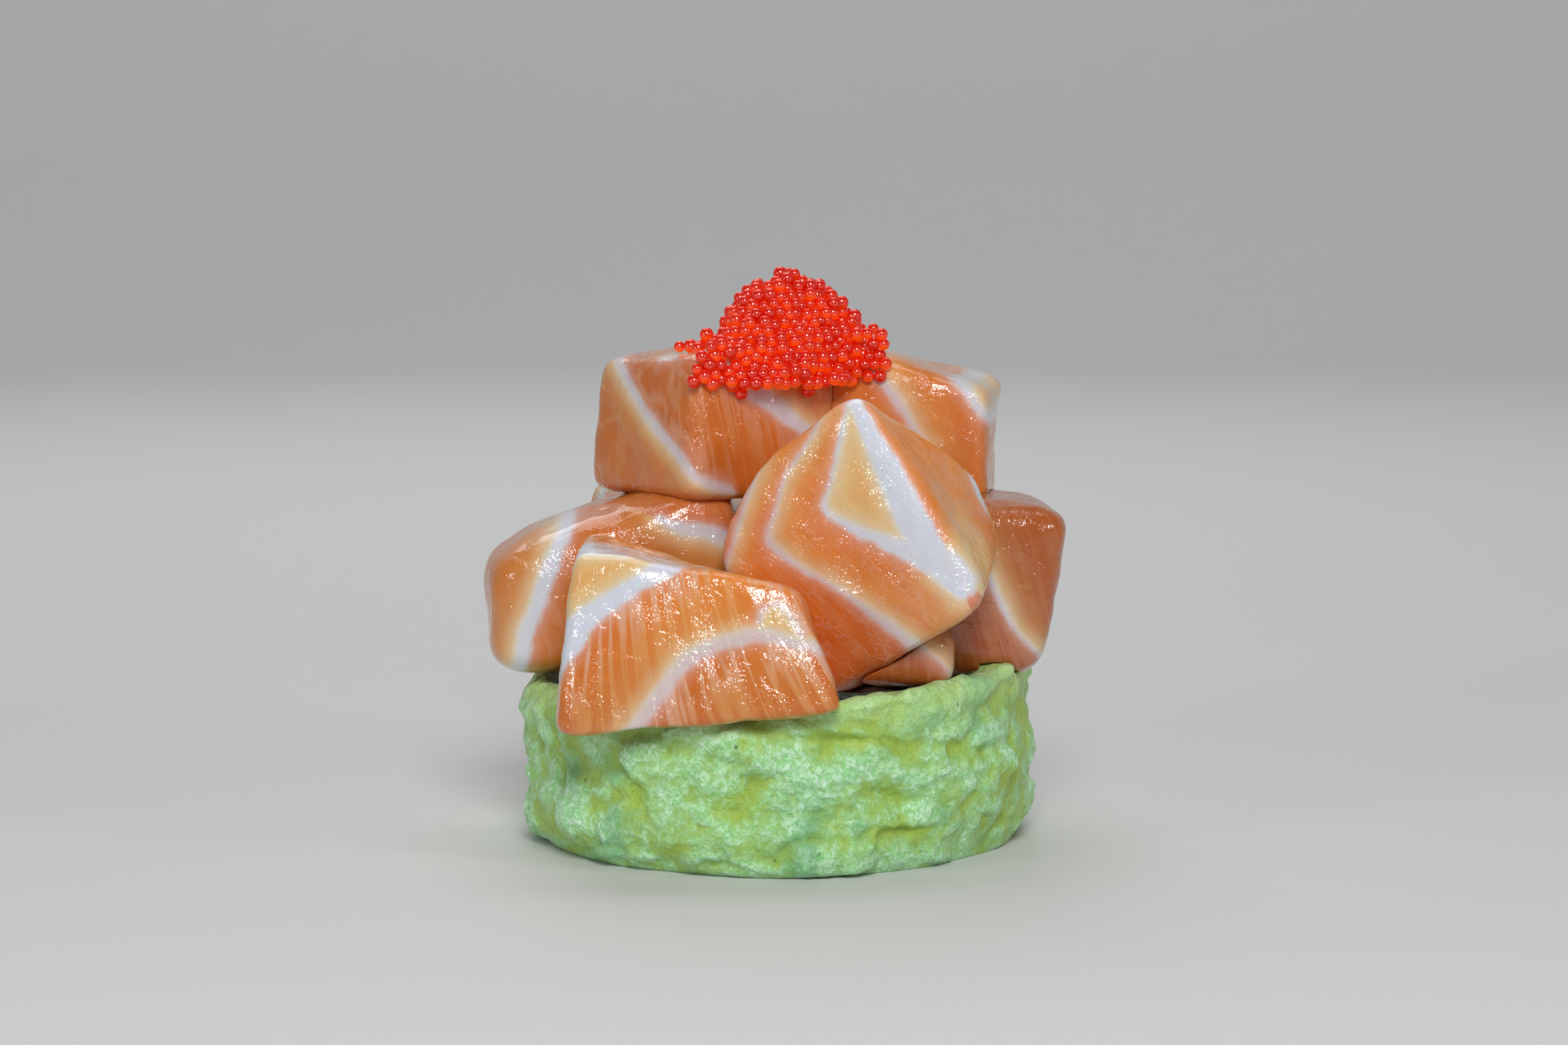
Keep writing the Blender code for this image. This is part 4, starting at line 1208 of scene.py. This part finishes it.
class FUTOMAKI_OT_roe(bpy.types.Operator):
    """The roe: single eggs packed in the heap's outer layers, over a core of the same outline"""

    bl_idname = "futomaki.roe"
    bl_label = "Roe"

    def execute(self, context):
        look = context.scene.futomaki_roe
        material = roe_material(look)
        radius = 0.5 * look.diameter / MM
        centres, sizes = self.settle(radius)
        ball, quads = round_cube(3)
        turns = np.eye(3)[None] * sizes[:, None, None]
        points, faces = many(ball, quads, (turns, centres))
        rng = np.random.default_rng(5)
        tint = np.repeat(rng.uniform(0, 1, len(centres)), len(ball))
        # how much of the painted orange glow each point gets, most on an egg's underside
        under = np.tile(0.5 - 0.5 * ball[:, 2], len(centres))
        add_piece("roe_eggs", points, [faces], material, "roe", ["roe"], tint=tint, under=under)
        grid, core_quads = round_cube(16)
        core = self.core(grid)
        # the core is coloured mostly in the painted glow, seen through the gaps between the eggs
        glow = {"tint": np.full(len(core), 0.2), "under": np.full(len(core), 0.8)}
        add_piece("roe_core", core, [core_quads], material, "roe", ["roe"], **glow)
        return {"FINISHED"}

    def spread(self, points):
        """How far out each point lies, 1 on the heap's surface: its distance from the leaning middle
        line, in the turned and rounded footprint, over the heap's width at that height."""
        height = (points[:, 2] - ROE_FOOT) / (ROE_TOP - ROE_FOOT)
        off = points[:, :2] - self.middle(points[:, 2])
        along = off[:, 0] * math.cos(ROE_TURN) + off[:, 1] * math.sin(ROE_TURN)
        across = -off[:, 0] * math.sin(ROE_TURN) + off[:, 1] * math.cos(ROE_TURN)
        u, v = np.abs(along) / (0.5 * ROE_WIDTH), np.abs(across) / (0.5 * ROE_DEPTH)
        flat = (u**ROE_SQUARE + v**ROE_SQUARE) ** (1 / ROE_SQUARE)
        angle = np.arctan2(v * np.sign(across), u * np.sign(along))
        width = np.clip(1 - height, 0.001, 1) ** ROE_BULGE
        uneven = 1 + ROE_LUMP * waves(angle + 1.3 * height, 51, (2, 3, 5, 7))
        uneven += 0.5 * ROE_LUMP * waves(angle - 4 * height, 77, (6, 9))
        return np.maximum(flat / (width * uneven), 0.01)

    def middle(self, z):
        """The heap's middle line at each height: straight, from its foot to its top."""
        height = np.clip((z - ROE_FOOT) / (ROE_TOP - ROE_FOOT), 0, 1)
        return np.outer(1 - height, ROE_FOOT_CENTRE) + np.outer(height, ROE_TOP_CENTRE)

    def shell(self, inset, pitch, rng):
        """Eggs side by side on level rings round the heap, that far inside its surface. On a ray from the
        middle line the spread grows evenly, so it is 1 at the ray's length over the spread at 1 mm."""
        rings = []
        angle = np.linspace(0, 2 * math.pi, 181)
        for z in np.arange(ROE_LOWEST, ROE_TOP - 1.2 * pitch, EGG_ROWS * pitch):
            ray = np.stack([np.cos(angle), np.sin(angle), 0 * angle], -1)
            start = np.array([*self.middle(z)[0], z])
            reach = np.maximum(1 / self.spread(start + ray) - inset, 0)
            path = start + ray * reach[:, None]
            length = np.concatenate([[0], np.cumsum(np.linalg.norm(np.diff(path, axis=0), axis=1))])
            count = max(round(length[-1] / pitch), 1)
            stops = (np.arange(count) + rng.uniform()) / count * length[-1]
            rings.append(np.stack([np.interp(stops, length, path[:, axis]) for axis in range(3)], -1))
        eggs = np.concatenate(rings)
        return eggs + rng.normal(0, EGG_SHAKE * pitch, eggs.shape)

    def apron(self, radius, rng):
        """Eggs that hang over the front edges of the two blocks, on a jittered lattice one egg deep.
        Where a rounded edge lies further back, they are moved back onto it."""
        pitch = EGG_PITCH * radius
        columns = np.arange(*APRON_ENDS, pitch)
        rows = np.arange(ROE_LOWEST, APRON_TOP, APRON_ROWS * pitch)
        x, z = np.meshgrid(columns, rows, indexing="ij")
        x = x + 0.5 * pitch * (np.arange(x.shape[1]) % 2) + rng.uniform(-APRON_SHAKE, APRON_SHAKE, x.shape)
        raised_from, raise_by = APRON_RAISED
        z = z + raise_by * (x > raised_from) + rng.uniform(-APRON_SHAKE, APRON_SHAKE, z.shape)
        fronts = [front + slope * (x - place) for place, front, slope in APRON_FRONTS]
        y = np.minimum(*fronts) - radius * rng.uniform(*APRON_STANDOFF, x.shape)
        eggs = np.stack([x, y, z], -1).reshape(-1, 3)
        tests = block_tests(ROE_BLOCKS, EGG_TO_BLOCK[1] * radius)
        behind = eggs + [0, APRON_DEPTH, 0]
        held = caught_by(tests, behind)
        return np.where(held[:, None], press_in(behind, eggs, tests), eggs)

    def settle(self, radius, rounds=25):
        """Packs the eggs: two shells and the apron start close together, push each other apart where they
        overlap, and are kept out of the salmon. The loose eggs keep their places."""
        rng = np.random.default_rng(23)
        pitch = EGG_PITCH * radius
        shells = np.concatenate([self.shell(inset * radius, pitch, rng) for inset in EGG_LAYERS])
        tests = block_tests(ROE_BLOCKS, EGG_TO_BLOCK[0] * radius)
        shells = shells[~caught_by(tests, shells)]
        centres = np.concatenate([LOOSE_EGGS, self.apron(radius, rng), shells])
        sizes = radius * rng.uniform(*EGG_SIZES, len(centres))
        want = EGG_CLOSE * (sizes[:, None] + sizes[None])
        lowest = ROE_LOWEST + rng.uniform(0, 0.8, len(centres))
        for _ in range(rounds):
            off = centres[:, None] - centres[None]
            distance = np.linalg.norm(off, axis=2) + 1e-9
            overlap = np.maximum(want - distance, 0)
            np.fill_diagonal(overlap, 0)
            centres = centres + EGG_PUSH * (off / distance[..., None] * overlap[..., None]).sum(1)
            centres[:, 2] = np.clip(centres[:, 2], lowest, ROE_TOP - sizes)
            centres = press_in(centres, centres + [0, 0, EGG_RISE], tests)
            centres[:len(LOOSE_EGGS)] = LOOSE_EGGS
        distance = np.linalg.norm(centres[:, None] - centres[None], axis=2)
        squeezed = np.triu(distance < EGG_SQUEEZED * want, 1).any(0)
        return centres[~squeezed], sizes[~squeezed]

    def core(self, ball):
        """The heap a little smaller: a ball's points pulled in along rays from its middle until
        inside."""
        middle = np.array([*ROE_FOOT_CENTRE, ROE_FOOT + CORE_MIDDLE])
        far = middle + ball * CORE_FAR
        foot_gap, top_gap = CORE_GAPS
        outside = [
            lambda spots: self.spread(spots) > ROE_CORE,
            lambda spots: spots[:, 2] < ROE_FOOT + foot_gap,
            lambda spots: spots[:, 2] > ROE_TOP - top_gap,
        ]
        return press_in(far, middle, outside)


class FUTOMAKI_OT_stage(bpy.types.Operator):
    """The stage: a pale floor that curves up into a backdrop all round, soft lights and the camera"""

    bl_idname = "futomaki.stage"
    bl_label = "Stage"

    def execute(self, context):
        look = context.scene.futomaki_stage
        self.floor(look)
        for name, (size, place, target) in LIGHTS.items():
            self.light(name, getattr(look, name), size, place, target)
        world = bpy.data.worlds.new("surroundings")
        world.use_nodes = True
        background = world.node_tree.nodes["Background"]
        background.inputs["Color"].default_value = SKY_COLOUR
        background.inputs["Strength"].default_value = look.sky
        context.scene.world = world
        camera = bpy.data.cameras.new("camera")
        camera.lens = CAMERA_LENS
        camera.sensor_width = CAMERA_WIDTH
        camera.clip_start, camera.clip_end = 0.01, 20
        seat = bpy.data.objects.new("camera", camera)
        seat.location = CAMERA_PLACE
        seat.rotation_euler = (CAMERA_TILT, 0, 0)
        context.scene.collection.objects.link(seat)
        context.scene.camera = seat
        context.scene.view_settings.view_transform = "Standard"
        return {"FINISHED"}

    def floor(self, look):
        """A turned profile: flat, then a quarter circle up to a wall."""
        bend = np.linspace(0, math.pi / 2, 24)
        radii = [*FLOOR_RINGS, *FLOOR_FLAT + FLOOR_BEND * np.sin(bend), FLOOR_FLAT + FLOOR_BEND]
        heights = [*[0] * len(FLOOR_RINGS), *FLOOR_BEND - FLOOR_BEND * np.cos(bend), WALL_TOP]
        angle = np.linspace(0, 2 * math.pi, 96, endpoint=False)
        directions = np.cos(angle), np.sin(angle), 1 + 0 * angle
        rings = np.stack([np.outer(run, way) for run, way in zip((radii, radii, heights), directions)], -1)
        points = np.concatenate([rings.reshape(-1, 3), [[0, 0, 0]]])
        quads = ring_quads(len(radii), len(angle), closed=False)
        middle = fan(len(points) - 1, np.arange(len(angle)))
        mesh = bpy.data.meshes.new("floor")
        mesh.from_pydata(points.tolist(), [], [*quads[:, ::-1].tolist(), *middle.tolist()])
        mesh.shade_smooth()
        finish = Finish("floor")
        finish.set(Base_Color=look.floor, Roughness=0.7)
        mesh.materials.append(finish.material)
        floor = bpy.data.objects.new("floor", mesh)
        bpy.context.scene.collection.objects.link(floor)

    def light(self, name, power, size, place, target):
        """A square area light that faces its target."""
        lamp = bpy.data.lights.new(name, "AREA")
        lamp.energy = power
        lamp.size = size
        holder = bpy.data.objects.new(name, lamp)
        holder.location = place
        away = holder.location - Vector(target)
        holder.rotation_euler = away.to_track_quat("Z", "Y").to_euler()
        bpy.context.scene.collection.objects.link(holder)


class FUTOMAKI_PT_pieces(bpy.types.Panel):
    bl_label = "Futomaki"
    bl_idname = "FUTOMAKI_PT_pieces"
    bl_space_type = "VIEW_3D"
    bl_region_type = "UI"
    bl_category = "Futomaki"

    def draw(self, context):
        layout = self.layout
        for operator in OPERATORS:
            layout.operator(operator.bl_idname)
        for group in LOOKS:
            look = getattr(context.scene, group)
            for key in look.__annotations__:
                layout.prop(look, key)


LOOKS = {
    "futomaki_roll": RollLook,
    "futomaki_salmon": SalmonLook,
    "futomaki_roe": RoeLook,
    "futomaki_stage": StageLook,
}
OPERATORS = [
    FUTOMAKI_OT_batter,
    FUTOMAKI_OT_seaweed,
    FUTOMAKI_OT_rice,
    FUTOMAKI_OT_salmon,
    FUTOMAKI_OT_roe,
    FUTOMAKI_OT_stage,
]


def register():
    for cls in [*LOOKS.values(), *OPERATORS, FUTOMAKI_PT_pieces]:
        bpy.utils.register_class(cls)
    for key, group in LOOKS.items():
        setattr(bpy.types.Scene, key, PointerProperty(type=group))


def unregister():
    for key in LOOKS:
        delattr(bpy.types.Scene, key)
    for cls in reversed([*LOOKS.values(), *OPERATORS, FUTOMAKI_PT_pieces]):
        bpy.utils.unregister_class(cls)


def main():
    register()
    bpy.ops.futomaki.batter()
    bpy.ops.futomaki.seaweed()
    bpy.ops.futomaki.rice()
    bpy.ops.futomaki.salmon()
    bpy.ops.futomaki.roe()
    bpy.ops.futomaki.stage()


if __name__ == "__main__":
    main()
